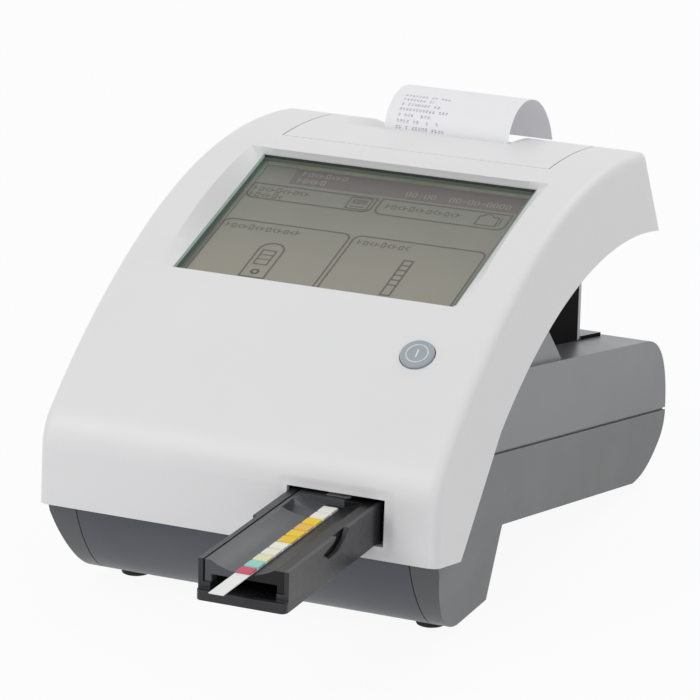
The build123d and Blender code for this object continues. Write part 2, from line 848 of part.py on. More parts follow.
# ---------------------------------------------------------------- test table and reader
rack_bed_right = table_left + 8.4
rack_left = table_left + 3.2
rack_right = rack_left + 3.8
rack_front = drive_y - table_travel - 7.0
rack_back = drive_y + 7.0
pinion_radius = rack_module * pinion_teeth / 2
pitch_line = table_bottom + 2.4
shaft_z = pitch_line - pinion_radius
drive_centre = (drive_y, shaft_z)
rail_left = table_left - slip
flange_left = table_left - 1.5
flange_bottom = table_top - 4.0


def make_table():
    """Tray that slides out of the front face, with the rack beneath it."""
    tray = block(table_left, table_right, table_front, table_back, table_bottom, table_top)
    inner_left = table_left + table_wall
    inner_right = table_right - table_wall
    tray -= block(inner_left, inner_right, table_front - 1, table_back + 1, ledge_top, table_top + 1)
    low = table_bottom + table_wall
    tray -= block(rack_bed_right, inner_right - 3, table_front - 1, table_back + 1, low, ledge_top + 1)
    tray -= block(inner_left + 3, rack_bed_right + 1, table_front - 1, rack_front - 3, low, ledge_top + 1)
    tray -= block(rack_left - 0.2, rack_right + 0.2, rack_front - 1, rack_back + 5,
                  table_bottom - 1, ledge_top - 1.2)
    lip = block(table_left, table_right, table_front - lip_length, table_front + 4,
                table_bottom, table_bottom + table_lip_height)
    lip = fillet(lip.edges().filter_by(Axis.Z).group_by(Axis.Y)[0], 2.4)
    lip -= block(inner_left + 3, inner_right - 3, table_front, table_front + 10, low, 80)
    tray += lip
    notch = [(-188, 60.5), (-182.5, 57.2), (-174.5, 57.6), (-168, 60.5), (-163.5, table_top + 1),
             (-174.5, table_top + 1), (-178, 62.4)]
    tray -= side_polygon(notch, table_wall, table_right)
    runner_front = -168.0
    tray += block(flange_left, table_left + 0.5, runner_front, table_back, flange_bottom, table_top)
    return tray


def make_rack():
    """Toothed bar in the groove under the tray."""
    pitch = pi * rack_module
    tip = pitch_line - 0.8 * rack_module
    root = pitch_line + 1.2 * rack_module
    bar_top = ledge_top - 1.2
    half = (rack_right - rack_left) / 2
    middle = (rack_left + rack_right) / 2
    bar = block(rack_left, rack_right, rack_front, rack_back, root, bar_top)
    first = int((rack_front - drive_y) / pitch)
    last = int((rack_back - drive_y) / pitch)
    for index in range(first, last):
        centre = drive_y + (index + 0.5) * pitch
        tooth = [
            (centre - 0.28 * pitch, root + 0.1),
            (centre - 0.12 * pitch, tip),
            (centre + 0.12 * pitch, tip),
            (centre + 0.28 * pitch, root + 0.1),
        ]
        bar += side_polygon(tooth, half, middle)
    return bar


insert_left = table_left + table_wall + fit
insert_right = table_right - table_wall - fit
insert_top = table_top - 0.4
insert_low = ledge_top
strip_bed = 60.4


def make_insert():
    """Removable insert with the dished strip channel."""
    front = table_front + 0.8
    back = table_back - 4.0
    body = block(insert_left, insert_right, front, back, insert_low, insert_top)
    body -= block(insert_left + 2.8, insert_right - 2.8, front - 1, back + 1, insert_low - 1, insert_window)
    half = strip_width / 2 + 0.5
    edge = insert_right - 3.2
    dish = make_face([
        Line((table_x - half, strip_bed), (table_x + half, strip_bed)),
        ThreePointArc((table_x + half, strip_bed), (table_x + half + 4.5, strip_bed + 1.2),
                      (edge, insert_top + 0.5)),
        Line((edge, insert_top + 0.5), (insert_left + 1.6, insert_top + 0.5)),
        ThreePointArc((insert_left + 1.6, insert_top + 0.5), (table_x - half - 5.0, strip_bed + 0.9),
                      (table_x - half, strip_bed)),
    ])
    reach = strip_end + 3.0
    body -= Pos(0, front - 1, 0) * extrude(Plane.XZ * dish, amount=-(reach - front + 1))
    scoop = x_rod(6.0, insert_left + 1.6, table_x - half, (-148.0, insert_top + 2.0))
    body -= scoop
    bar = block(table_x - 5, table_x + 5, reach + 3, reach + 13, insert_top - 0.8, insert_top)
    body -= block(table_x - 5, table_x + 5, reach + 3, reach + 13, insert_top - 0.8, 90)
    y0 = strip_end - strip_length
    strip = block(table_x - strip_width / 2, table_x + strip_width / 2, y0, strip_end,
                  strip_bed, strip_bed + strip_thickness)
    pads = []
    top = strip_bed + strip_thickness
    for index in range(pad_count):
        y = strip_end - 3.4 - index * pad_pitch
        half_pad = pad_pitch / 2 - 0.6
        pads.append(block(table_x - strip_width / 2, table_x + strip_width / 2,
                          y - half_pad, y + half_pad, top, top + pad_thickness))
    return {"table_insert": body, "calibration_bar": bar, "test_strip": strip,
            "reagent_pads": Compound(pads)}


gear_x = (table_left - 9.0, table_left - 6.4)
pinion_x = (rack_left + 0.3, rack_right - 0.3)
lug_left = (rack_left - 2.6, rack_left - 0.6)
lug_right = (rack_right + 0.6, rack_right + 2.6)
reduction_radius = reduction_module * reduction_teeth / 2
motor_gear_radius = reduction_module * motor_teeth / 2
motor_centre = (drive_y - reduction_radius - motor_gear_radius, shaft_z)
motor_radius = 9.5
motor_face = gear_x[0] - 3.4


def make_guide():
    """Plate and rails that the table runs on, with the bearings of the drive shaft."""
    left = table_left - 4.2
    right = table_right + 4.2
    front = case_front + cover_wall + 1.0
    back = table_back + table_travel + 4.0
    plate = block(left, right, front, back, plate_bottom, plate_top)
    plate += block(left, rail_left, front, back, plate_top - 0.1, flange_bottom - fit)
    plate += block(table_right + slip, right, front, back, plate_top - 0.1, flange_bottom - fit)
    reach = pinion_radius + 1.6
    plate -= block(rack_left - 0.4, rack_right + 0.4, drive_y - reach, drive_y + reach, 30, 60)
    for x0, x1 in (lug_left, lug_right):
        plate += block(x0, x1, drive_y - 4, drive_y + 4, shaft_z - 4, plate_bottom + 0.1)
    plate -= x_rod(shaft_radius + bearing, left - 1, right, drive_centre)
    return plate


def make_drive():
    """Shaft with its pinion, reduction gear, motor with its gear, and the bracket."""
    shaft = x_rod(shaft_radius, gear_x[0] - 1.0, lug_right[1] + 0.4, drive_centre)
    shaft += gear(rack_module, pinion_teeth, pinion_x[0], pinion_x[1], drive_centre, 0, 90)
    reduction = gear(
        reduction_module, reduction_teeth, gear_x[0], gear_x[1], drive_centre, shaft_radius, 180
    )
    motor_phase = 180 / motor_teeth
    motor_gear = gear(
        reduction_module, motor_teeth, gear_x[0], gear_x[1], motor_centre, 0, motor_phase
    )
    motor_gear += x_rod(spindle_radius, motor_face - 1.0, gear_x[1] + 0.4, motor_centre)
    motor = x_rod(motor_radius, motor_face - 22, motor_face, motor_centre)
    motor -= x_rod(spindle_radius + bearing, motor_face - 1.5, motor_face + 1, motor_centre)
    y0 = motor_centre[0] - motor_radius
    bracket = block(motor_face, motor_face + 1.4, y0, drive_y + 14, shaft_z - 8, plate_bottom + 2)
    tab_front = drive_y + 10.5
    bracket += block(
        motor_face, table_left - 4.2, tab_front, drive_y + 14, plate_bottom, plate_bottom + 2
    )
    bracket -= x_rod(2.0, motor_face - 1, motor_face + 3, motor_centre)
    bracket -= x_rod(2.0, motor_face - 1, motor_face + 3, drive_centre)
    return {
        "drive_shaft": shaft, "reduction_gear": reduction, "motor_gear": motor_gear,
        "drive_motor": motor, "motor_bracket": bracket,
    }


def make_optics():
    """Reading head above the closed table: lens, lamps and the board with its sensor."""
    y0 = -104.0
    y1 = -62.0
    low = table_top + 2.2
    left = table_x - 15.0
    right = table_x + 15.0
    top = low + 18.0
    head = block(left, right, y0, y1, low, top)
    head -= block(left + 2, right - 2, y0 + 2, y1 - 2, low + 2, top + 1)
    head -= block(table_x - 5, table_x + 5, y0 + 14, y1 - 14, low - 1, low + 3)
    for x0, x1 in ((table_left - 4.2, left), (right, table_right + 4.2)):
        head += block(x0, x1, y0 + 12, y1 - 12, low, low + 2)
    for x0, x1 in ((table_left - 4.2, table_left - 2.0), (table_right + 2.0, table_right + 4.2)):
        head += block(x0, x1, y0 + 12, y1 - 12, flange_bottom - fit, low + 0.1)
    lens = Pos(table_x, (y0 + y1) / 2, low + 4.0) * Cylinder(4.6, 3.6)
    board = block(left, right, y0, y1, top, top + 1.6)
    lamps = []
    for index in range(6):
        x = table_x + (index % 2 * 2 - 1) * 9.0
        y = (y0 + y1) / 2 + (index // 2 - 1) * 12.0
        lamps.append(block(x - 1.5, x + 1.5, y - 1.5, y + 1.5, top - 1.4, top))
    board += block(table_x - 5, table_x + 5, (y0 + y1) / 2 - 5, (y0 + y1) / 2 + 5, top - 2.4, top)
    return {
        "optics_housing": head, "optics_lens": lens, "led_board": board,
        "led_lamps": Compound(lamps),
    }


# ---------------------------------------------------------------- printer
frame_x = (tub_outer_half + 0.8, tub_outer_half + 2.4)
head_pivot = (paper_y + 4.2, 131.0)
gear_side = (frame_x[1] + 0.6, frame_x[1] + 3.0)
platen_gear_radius = reduction_module * platen_teeth / 2
printer_gear_radius = reduction_module * printer_motor_teeth / 2
printer_mesh = 205.0               # direction from platen to motor gear, degrees
printer_motor_centre = (
    platen_centre[0] + (platen_gear_radius + printer_gear_radius) * cos(radians(printer_mesh)),
    platen_centre[1] + (platen_gear_radius + printer_gear_radius) * sin(radians(printer_mesh)),
)


def make_tub():
    """Cradle that holds the paper roll."""
    tub = x_rod(cradle_outer, -tub_outer_half, tub_outer_half, roll_centre)
    tub += block(-tub_outer_half, tub_outer_half, roll_centre[0] - cradle_outer,
                 roll_centre[0] + cradle_outer, roll_centre[1], shroud_top + 1.4)
    half = roll_length / 2 + 0.7
    tub -= x_rod(cradle_inner, -half, half, roll_centre)
    tub -= block(-half, half, roll_centre[0] - cradle_inner, roll_centre[0] + cradle_inner,
                 roll_centre[1], 160)
    tub -= block(-80, 80, 0, 120, shroud_top + 1.4, 200)
    for side in (-1, 1):
        x0, x1 = sorted((side * (tub_outer_half - 0.5), side * (tub_outer_half + 9)))
        tub += block(x0, x1, 34, 62, shroud_top, shroud_top + 1.4)
    return tub


def make_printer():
    """Side plates, platen, print head on its sprung carrier, and the motor train."""
    bottom = shroud_top
    frame = block(frame_x[0], frame_x[1], 63, 84, bottom, 146.4)
    frame += block(-frame_x[1], -frame_x[0], 63, 84, bottom, 146.4)
    frame += block(-frame_x[1], frame_x[1], 80.5, 84, bottom, bottom + 3.0)
    motor_seat = block(frame_x[0], frame_x[1], 55, 64, 128, 146.4)
    frame += motor_seat
    motor_x0 = gear_side[1] + 1.8
    saddle = printer_motor_centre[1] + printer_motor_radius
    frame += block(frame_x[0], motor_x0 + 8, 55, printer_motor_centre[0], saddle, saddle + 1.4)
    frame -= x_rod(shaft_radius + bearing, -40, 40, platen_centre)
    frame -= x_rod(head_pin_radius + bearing, -40, 40, head_pivot)
    frame -= x_rod(spindle_radius + 0.85, 20, 50, printer_motor_centre)
    roller_half = roll_length / 2 + 0.3
    axle = x_rod(shaft_radius, -frame_x[1] - 1.0, gear_side[1] + 0.4, platen_centre)
    roller = x_rod(platen_radius, -roller_half, roller_half, platen_centre)
    roller -= x_rod(shaft_radius, -roller_half - 1, roller_half + 1, platen_centre)
    wheel = gear(
        reduction_module, platen_teeth, gear_side[0], gear_side[1], platen_centre,
        shaft_radius, printer_mesh,
    )
    phase = printer_mesh + 180 + 180 / printer_motor_teeth
    small = gear(reduction_module, printer_motor_teeth, gear_side[0], gear_side[1],
                 printer_motor_centre, 0, phase)
    small += x_rod(spindle_radius, gear_side[0] - 0.4, motor_x0 + 1.0, printer_motor_centre)
    motor = x_rod(printer_motor_radius, motor_x0, motor_x0 + 16, printer_motor_centre)
    motor -= x_rod(spindle_radius + bearing, motor_x0 - 1, motor_x0 + 1.6, printer_motor_centre)
    head_half = roll_length / 2 - 1.0
    face = paper_y + paper_thickness + 0.3
    head = block(-head_half, head_half, face, face + 1.2, 136, 146)
    carrier = block(-head_half, head_half, face + 1.2, face + 3.0, 130, 146)
    carrier += x_rod(2.2, -head_half, head_half, head_pivot)
    carrier -= x_rod(head_pin_radius + bearing, -head_half - 1, head_half + 1, head_pivot)
    pin = x_rod(head_pin_radius, -frame_x[1] - 0.6, frame_x[1] + 0.6, head_pivot)
    coil = x_rod(2.4, head_half + 0.5, head_half + 2.4, head_pivot)
    coil -= x_rod(1.3, head_half, head_half + 4, head_pivot)
    return {
        "printer_frame": frame, "platen_axle": axle, "platen_roller": roller,
        "platen_gear": wheel, "printer_motor_gear": small, "printer_motor": motor,
        "print_head": head, "head_carrier": carrier, "head_pin": pin, "head_spring": coil,
    }


def ribbon(path, thickness, width):
    """Thin strip of paper along a path drawn in side view."""
    count = 16
    near = [path @ (index / count) for index in range(count + 1)]
    far = []
    for index in range(count + 1):
        heading = path % (index / count)
        point = near[index]
        far.append((point.X + heading.Y * thickness, point.Y - heading.X * thickness))
    near = [(point.X, point.Y) for point in near]
    edges = [Spline(*near), Line(near[-1], far[-1]), Spline(*far[::-1]), Line(far[0], near[0])]
    return side_prism(edges, width / 2)


def make_paper():
    """Paper roll on its core, the web up to the head, and the printed curl."""
    core = x_rod(6.5, -roll_length / 2, roll_length / 2, roll_centre)
    core -= x_rod(5.2, -50, 50, roll_centre)
    roll = x_rod(roll_radius, -roll_length / 2, roll_length / 2, roll_centre)
    roll -= x_rod(6.5, -50, 50, roll_centre)
    web_foot = (roll_centre[0] + roll_radius + 0.35, roll_centre[1] + 4)
    web_top = recess_floor - 3.2
    web_bend = platen_centre[1] - 3.0
    web_low = web_foot[1] + 4.0
    web = side_polygon(
        [
            (paper_y, web_top),
            (paper_y, web_bend),
            (web_foot[0], web_low),
            (web_foot[0] + paper_thickness, web_low),
            (paper_y + paper_thickness, web_bend),
            (paper_y + paper_thickness, web_top),
        ],
        roll_length / 2,
    )
    curl_path = Spline(
        (paper_y + 0.6, recess_floor - 1.6), (paper_y + 3.4, 160.0), (paper_y + 12.5, 167.4),
        (paper_y + 25.0, 168.3), (paper_y + 38.0, 163.6), (paper_y + 49.0, 154.8),
        (paper_y + 56.0, 143.5),
        tangents=((0.02, 1), (0.42, -0.9)),
    )
    curl = ribbon(curl_path, paper_thickness, roll_length)
    return {"roll_core": core, "paper_roll": roll, "paper_web": web, "paper_curl": curl}


# ---------------------------------------------------------------- the whole analyzer
def build_all():
    """Every named piece, in case coordinates."""
    body = cover_body()
    hollow = cover_hollow()
    solid = base_solid()
    inside = base_hollow()
    upper, lower, panel = make_base(solid, inside)
    pieces = {
        "top_cover": make_top_cover(body, hollow),
        "printer_lid": make_printer_lid(body, hollow),
        "lid_hinge_pins": make_lid_pins(),
        "base_upper": upper,
        "base_lower": lower,
        "pedestal_panel": panel,
        "cover_shroud": make_shroud(),
        "test_table": make_table(),
        "table_rack": make_rack(),
        "table_guide": make_guide(),
        "paper_tub": make_tub(),
    }
    pieces.update(make_display())
    pieces.update(make_button())
    pieces.update(make_feet(lower))
    pieces.update(make_screws())
    pieces.update(make_rear_panel())
    pieces.update(make_electronics())
    pieces.update(make_battery_bay())
    pieces.update(make_insert())
    pieces.update(make_drive())
    pieces.update(make_optics())
    pieces.update(make_printer())
    pieces.update(make_paper())
    return pieces


# The row origin lies on the desk, under the middle of the whole outline from the tip of
# the strip on the open table to the back of the base.
front_most = strip_end - strip_length
origin_shift = -(front_most + case_back) / 2

for node, shape in build_all().items():
    export_step(Pos(0, origin_shift, 0) * shape, f"parts/{node}.step")
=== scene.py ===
import json
import logging
import math
from dataclasses import dataclass, field
from enum import Enum
from functools import cache
from typing import Iterable, Sequence

import bmesh
import bpy
from mathutils import Matrix, Vector


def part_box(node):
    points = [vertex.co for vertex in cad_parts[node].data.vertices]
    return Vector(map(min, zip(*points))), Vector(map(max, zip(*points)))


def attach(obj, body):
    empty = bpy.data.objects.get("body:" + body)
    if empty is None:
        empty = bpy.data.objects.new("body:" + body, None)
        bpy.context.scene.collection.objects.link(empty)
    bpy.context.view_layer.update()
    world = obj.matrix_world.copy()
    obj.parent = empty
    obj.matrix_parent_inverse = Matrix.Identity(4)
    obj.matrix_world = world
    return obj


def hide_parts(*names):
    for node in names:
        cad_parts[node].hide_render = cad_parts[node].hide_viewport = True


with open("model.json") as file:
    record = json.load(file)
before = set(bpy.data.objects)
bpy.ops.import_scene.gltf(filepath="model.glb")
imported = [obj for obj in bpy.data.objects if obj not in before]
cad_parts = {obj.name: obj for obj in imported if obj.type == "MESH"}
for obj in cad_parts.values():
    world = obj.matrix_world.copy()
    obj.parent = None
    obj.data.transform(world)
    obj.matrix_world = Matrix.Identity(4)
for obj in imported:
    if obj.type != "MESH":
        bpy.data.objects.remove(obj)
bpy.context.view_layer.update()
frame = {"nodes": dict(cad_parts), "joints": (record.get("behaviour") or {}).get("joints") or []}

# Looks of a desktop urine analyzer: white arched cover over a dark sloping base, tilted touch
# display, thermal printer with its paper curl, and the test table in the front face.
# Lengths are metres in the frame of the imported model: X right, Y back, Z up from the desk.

LOG = logging.getLogger("analyzer")
MM = 0.001
ROW_SHIFT = 53.5 * MM              # from the middle of the case to the middle of the outline
Colour = tuple[float, float, float]
Outline = list[tuple[float, float]]
WHITE = (1.0, 1.0, 1.0, 1.0)


def linear(red: int, green: int, blue: int) -> Colour:
    """Turns a display colour into the linear values that shaders take.

    Args:
        red: red from 0 to 255.
        green: green from 0 to 255.
        blue: blue from 0 to 255.

    Returns:
        The three linear values from 0 to 1.
    """
    def channel(value: int) -> float:
        """Linear value of one channel."""
        share = value / 255
        return share / 12.92 if share <= 0.04045 else ((share + 0.055) / 1.055) ** 2.4

    return channel(red), channel(green), channel(blue)


def shaded(colour: Colour, factor: float) -> Colour:
    """Colour made darker or lighter by a factor, held within 1."""
    return tuple(min(1.0, value * factor) for value in colour)


# ---------------------------------------------------------------- shader building
class Wire:
    """A shader socket that takes Python's operators; each adds one Math node."""

    def __init__(self, shader: "Shader", socket: bpy.types.NodeSocket) -> None:
        """Keeps the socket and the shader that it belongs to."""
        self.shader = shader
        self.socket = socket

    def _math(self, operation: str, first: "Wire | float", second: "Wire | float") -> "Wire":
        """Adds a Math node on two values.

        Args:
            operation: the Math node's operation.
            first: the upper value.
            second: the lower value.

        Returns:
            The node's result.
        """
        return self.shader.node("ShaderNodeMath", {"operation": operation}, {0: first, 1: second})

    def __add__(self, other: "Wire | float") -> "Wire":
        """Sum."""
        return self._math("ADD", self, other)

    __radd__ = __add__

    def __sub__(self, other: "Wire | float") -> "Wire":
        """Difference."""
        return self._math("SUBTRACT", self, other)

    def __rsub__(self, other: "Wire | float") -> "Wire":
        """Difference from a number."""
        return self._math("SUBTRACT", other, self)

    def __mul__(self, other: "Wire | float") -> "Wire":
        """Product."""
        return self._math("MULTIPLY", self, other)

    __rmul__ = __mul__

    def __truediv__(self, other: "Wire | float") -> "Wire":
        """Quotient."""
        return self._math("DIVIDE", self, other)

    def __rtruediv__(self, other: "Wire | float") -> "Wire":
        """Quotient of a number."""
        return self._math("DIVIDE", other, self)

    def __gt__(self, other: "Wire | float") -> "Wire":
        """1 where this is larger."""
        return self._math("GREATER_THAN", self, other)

    def __lt__(self, other: "Wire | float") -> "Wire":
        """1 where this is smaller."""
        return self._math("LESS_THAN", self, other)

    def __abs__(self) -> "Wire":
        """Size without its sign."""
        return self._math("ABSOLUTE", self, 0.0)

    def root(self) -> "Wire":
        """Square root."""
        return self._math("SQRT", self, 0.0)

    def at_least(self, floor: "Wire | float") -> "Wire":
        """The larger of this and a floor."""
        return self._math("MAXIMUM", self, floor)

    def at_most(self, ceiling: "Wire | float") -> "Wire":
        """The smaller of this and a ceiling."""
        return self._math("MINIMUM", self, ceiling)

    def wrapped(self) -> "Wire":
        """Fraction left after whole steps."""
        return self._math("FRACT", self, 0.0)

    def floor(self) -> "Wire":
        """Whole steps."""
        return self._math("FLOOR", self, 0.0)


class Shader:
    """The node tree of a material or of the world, while it is built."""

    def __init__(self, owner: bpy.types.Material | bpy.types.World) -> None:
        """Empties the owner's tree and adds its output.

        Args:
            owner: the material or world.
        """
        owner.use_nodes = True
        self.owner = owner
        self.tree = owner.node_tree
        self.tree.nodes.clear()
        of_world = isinstance(owner, bpy.types.World)
        self.output = self.tree.nodes.new(f"ShaderNodeOutput{'World' if of_world else 'Material'}")

    @classmethod
    def named(cls, name: str) -> "Shader":
        """Tree of a new material."""
        return cls(bpy.data.materials.new(name))

    def node(
        self,
        kind: str,
        settings: dict[str, object] | None = None,
        inputs: dict[str | int, object] | None = None,
        output: str | int = 0,
    ) -> Wire:
        """Adds any node.

        Args:
            kind: the node's type.
            settings: attributes that are set first; "stops" fills a colour ramp.
            inputs: values or wires for its sockets, by name or number.
            output: which output to give back.

        Returns:
            The chosen output as a wire.
        """
        made = self.tree.nodes.new(kind)
        for key, value in (settings or {}).items():
            if key == "stops":
                self._fill_ramp(made.color_ramp, value)
            else:
                setattr(made, key, value)
        for key, value in (inputs or {}).items():
            if isinstance(value, Wire):
                self.tree.links.new(value.socket, made.inputs[key])
            else:
                made.inputs[key].default_value = value
        return Wire(self, made.outputs[output])

    @staticmethod
    def _fill_ramp(ramp: bpy.types.ColorRamp, stops: Sequence[tuple[float, Colour]]) -> None:
        """Sets a ramp's stops, held constant between them.

        Args:
            ramp: the ramp.
            stops: place and colour of each.
        """
        ramp.interpolation = "CONSTANT"
        while len(ramp.elements) < len(stops):
            ramp.elements.new(1.0)
        for element, (place, colour) in zip(ramp.elements, stops):
            element.position = place
            element.color = (*colour, 1.0)

    def place(self) -> Wire:
        """Object coordinates."""
        return self.node("ShaderNodeTexCoord", output="Object")

    def axes(self, place: Wire) -> tuple[Wire, Wire, Wire]:
        """Splits a position.

        Args:
            place: the position.

        Returns:
            Its X, Y and Z.
        """
        first = self.node("ShaderNodeSeparateXYZ", inputs={0: place})
        outputs = first.socket.node.outputs
        return first, Wire(self, outputs[1]), Wire(self, outputs[2])

    def noise(self, place: Wire, scale: float, detail: float = 2.0) -> Wire:
        """Noise value around 0.5 at a scale per metre."""
        values = {"Vector": place, "Scale": scale, "Detail": detail}
        return self.node("ShaderNodeTexNoise", inputs=values)

    def stretched(self, place: Wire, scale: tuple[float, float, float]) -> Wire:
        """Position stretched along the axes."""
        return self.node("ShaderNodeMapping", inputs={"Vector": place, "Scale": scale})

    def mix(self, low: Colour | Wire, high: Colour | Wire, factor: Wire) -> Wire:
        """Colour between two colours.

        Args:
            low: colour where the factor is 0.
            high: colour where the factor is 1.
            factor: the share of the second colour.

        Returns:
            The mixed colour.
        """
        values: dict[str | int, object] = {0: factor}
        for slot, colour in ((6, low), (7, high)):
            values[slot] = colour if isinstance(colour, Wire) else (*colour, 1.0)
        return self.node("ShaderNodeMix", {"data_type": "RGBA"}, values, output=2)

    def bump(self, height: Wire, distance: float, under: Wire | None = None) -> Wire:
        """Normal bent by a height.

        Args:
            height: the height, from 0 to 1.
            distance: its full swing in metres.
            under: a normal that is already bent.

        Returns:
            The bent normal.
        """
        values = {"Height": height, "Distance": distance}
        if under is not None:
            values["Normal"] = under
        return self.node("ShaderNodeBump", inputs=values)

    def finish(self, **sockets: object) -> bpy.types.Material:
        """Adds the Principled shader and links it to the output.

        Args:
            sockets: its sockets by name, with underscores for spaces.

        Returns:
            The finished material.
        """
        named = {}
        for key, value in sockets.items():
            if isinstance(value, tuple) and len(value) == 3:
                value = (*value, 1.0)
            named[key.replace("_", " ")] = value
        self.show(self.node("ShaderNodeBsdfPrincipled", inputs=named))
        return self.owner

    def show(self, surface: Wire) -> None:
        """Links a surface to the output."""
        self.tree.links.new(surface.socket, self.output.inputs["Surface"])


# ---------------------------------------------------------------- finishes
@dataclass(frozen=True)
class MouldedPlastic:
    """Injection-moulded plastic with a fine spark-eroded grain."""

    name: str
    colour: Colour
    roughness: float = 0.45
    grain_size: float = 0.5 * MM
    grain_depth: float = 0.02 * MM
    cloudiness: float = 0.04
    specular: float = 0.5
    cloud_scale: float = 16.0
    handled_scale: float = 55.0        # where hands have polished the grain

    def build(self) -> bpy.types.Material:
        """Grain in the bump, with faint clouds in tone and gloss.

        Returns:
            The material.
        """
        shader = Shader.named(self.name)
        place = shader.place()
        grain = shader.noise(place, 1 / self.grain_size, 3.0)
        cloud = shader.noise(place, self.cloud_scale, 4.0)
        handled = shader.noise(place, self.handled_scale, 2.0)
        swing = (cloud - 0.5) * 0.10 + (handled - 0.5) * 0.08 + (grain - 0.5) * 0.06
        return shader.finish(
            Base_Color=self.tone(shader, place, cloud), Roughness=self.roughness + swing,
            IOR=1.5, Specular_IOR_Level=self.specular,
            Normal=shader.bump(grain, self.grain_depth, self.relief(shader, place)),
        )

    def tone(self, shader: Shader, place: Wire, cloud: Wire) -> Wire:
        """Colour over the moulding.

        Args:
            shader: the material being built.
            place: object coordinates.
            cloud: slow noise.

        Returns:
            The colour.
        """
        low = shaded(self.colour, 1 - self.cloudiness)
        return shader.mix(low, shaded(self.colour, 1 + self.cloudiness), cloud)

    def relief(self, shader: Shader, place: Wire) -> Wire | None:
        """Normal under the grain; plain mouldings have none."""
        return None


@dataclass(frozen=True)
class CoverPlastic(MouldedPlastic):
    """Cover plastic with the soft sunk rim round the table's mouth."""

    mouth_x: float = 42.8 * MM
    mouth_z: float = 56.4 * MM
    half_width: float = 21.6 * MM
    half_height: float = 10.4 * MM
    rim_width: float = 3.4 * MM
    rim_depth: float = 0.35 * MM
    front: float = -70.0 * MM

    def relief(self, shader: Shader, place: Wire) -> Wire | None:
        """Normal of the bank that falls to the rim.

        Args:
            shader: the material being built.
            place: object coordinates.

        Returns:
            The bent normal.
        """
        x, y, z = shader.axes(place)
        aside = (abs(x - self.mouth_x) - self.half_width).at_least(0.0)
        above = (abs(z - self.mouth_z) - self.half_height).at_least(0.0)
        rise = ((aside * aside + above * above).root() / self.rim_width).at_most(1.0)
        soft = rise * rise * (3.0 - rise * 2.0)
        return shader.bump(soft.at_least(y > self.front), self.rim_depth)


@dataclass(frozen=True)
class BaseMoulding(MouldedPlastic):
    """Base plastic with painted shade that deepens towards the desk and painted light towards the
    top.
    """

    low: float = 5.0 * MM
    high: float = 85.0 * MM
    # painted shade and painted light: factors on the base colour at the foot and at the top
    painted_shade_at_foot: float = 0.66
    painted_light_at_top: float = 1.08
    cloud_share: float = 0.2

    def tone(self, shader: Shader, place: Wire, cloud: Wire) -> Wire:
        """Colour over the base, with painted shade low down and painted light high up.

        Args:
            shader: the material being built.
            place: object coordinates.
            cloud: slow noise.

        Returns:
            The colour.
        """
        _, _, z = shader.axes(place)
        height = ((z - self.low) / (self.high - self.low)).at_least(0.0).at_most(1.0)
        share = height * (1 - self.cloud_share) + cloud * self.cloud_share
        # painted shade at the foot, fading by height into painted light at the top
        foot, top = (shaded(self.colour, tone) for tone in (self.painted_shade_at_foot, self.painted_light_at_top))
        return shader.mix(foot, top, share)


@dataclass(frozen=True)
class InsertMoulding(MouldedPlastic):
    """Insert plastic, grey on the left bank, with painted shade in near black from the strip to the
    right.
    """

    # painted shade: near black laid over the insert from the strip to the right
    dark: Colour = (0.009, 0.009, 0.010)
    bed_left: float = 39.6 * MM
    bed_height: float = 60.7 * MM
    bank_right: float = 46.9 * MM

    def tone(self, shader: Shader, place: Wire, cloud: Wire) -> Wire:
        """Colour over the insert, with the painted shade from the strip to the right.

        Args:
            shader: the material being built.
            place: object coordinates.
            cloud: slow noise.

        Returns:
            The colour.
        """
        x, _, z = shader.axes(place)
        # low faces right of the strip's edge take the painted shade
        shaded_bed = (x > self.bed_left) * (z < self.bed_height)
        return shader.mix(
            super().tone(shader, place, cloud), self.dark, shaded_bed.at_least(x > self.bank_right)
        )


@dataclass(frozen=True)
class GlassEdge:
    """Cut edge of the glass: tinted near its face and dull further down; the near tone carries
    painted light on the sides and painted shadow on the ends.
    """

    name: str
    near: Colour
    far: Colour
    depth: float
    front_y: float = -64.7 * MM + ROW_SHIFT
    front_z: float = 123.4 * MM
    tilt: float = math.radians(17.0)
    chip_scale: float = 700.0
    chip_depth: float = 0.3 * MM

    def build(self) -> bpy.types.Material:
        """Two tones by the depth below the face.

        Returns:
            The material.
        """
        shader = Shader.named(self.name)
        place = shader.place()
        _, y, z = shader.axes(place)
        rise = (z - self.front_z) * math.cos(self.tilt) - (y - self.front_y) * math.sin(self.tilt)
        chips = shader.noise(place, self.chip_scale, 3.0)
        near = rise + (chips - 0.5) * self.chip_depth > -self.depth
        tone = shader.mix(self.far, self.near, near)
        return shader.finish(Base_Color=tone, Roughness=0.2 + chips * 0.1, IOR=1.5)


@dataclass(frozen=True)
class Metal:
    """Bare metal with drawn or turned marks along one axis."""

    name: str
    colour: Colour
    roughness: float = 0.3
    grain: tuple[float, float, float] = (40.0, 1600.0, 1600.0)

    def build(self) -> bpy.types.Material:
        """Long streaks in gloss, tone and bump.

        Returns:
            The material.
        """
        shader = Shader.named(self.name)
        streak = shader.noise(shader.stretched(shader.place(), self.grain), 1.0, 3.0)
        tone = shader.mix(shaded(self.colour, 0.86), self.colour, streak)
        gloss = self.roughness + (streak - 0.5) * 0.16
        return shader.finish(
            Base_Color=tone, Metallic=1.0, Roughness=gloss, Normal=shader.bump(streak, 0.01 * MM)
        )


@dataclass(frozen=True)
class Rubber:
    """Dull soft rubber with a dusty bloom."""

    name: str
    colour: Colour
    roughness: float = 0.75

    def build(self) -> bpy.types.Material:
        """Fine pitted bump and a lighter bloom.

        Returns:
            The material.
        """
        shader = Shader.named(self.name)
        place = shader.place()
        pits = shader.noise(place, 1400.0, 4.0)
        bloom = shader.noise(place, 60.0, 5.0)
        tone = shader.mix(self.colour, shaded(self.colour, 1.8), bloom)
        return shader.finish(
            Base_Color=tone, Roughness=self.roughness + (pits - 0.5) * 0.1,
            Normal=shader.bump(pits, 0.03 * MM),
        )


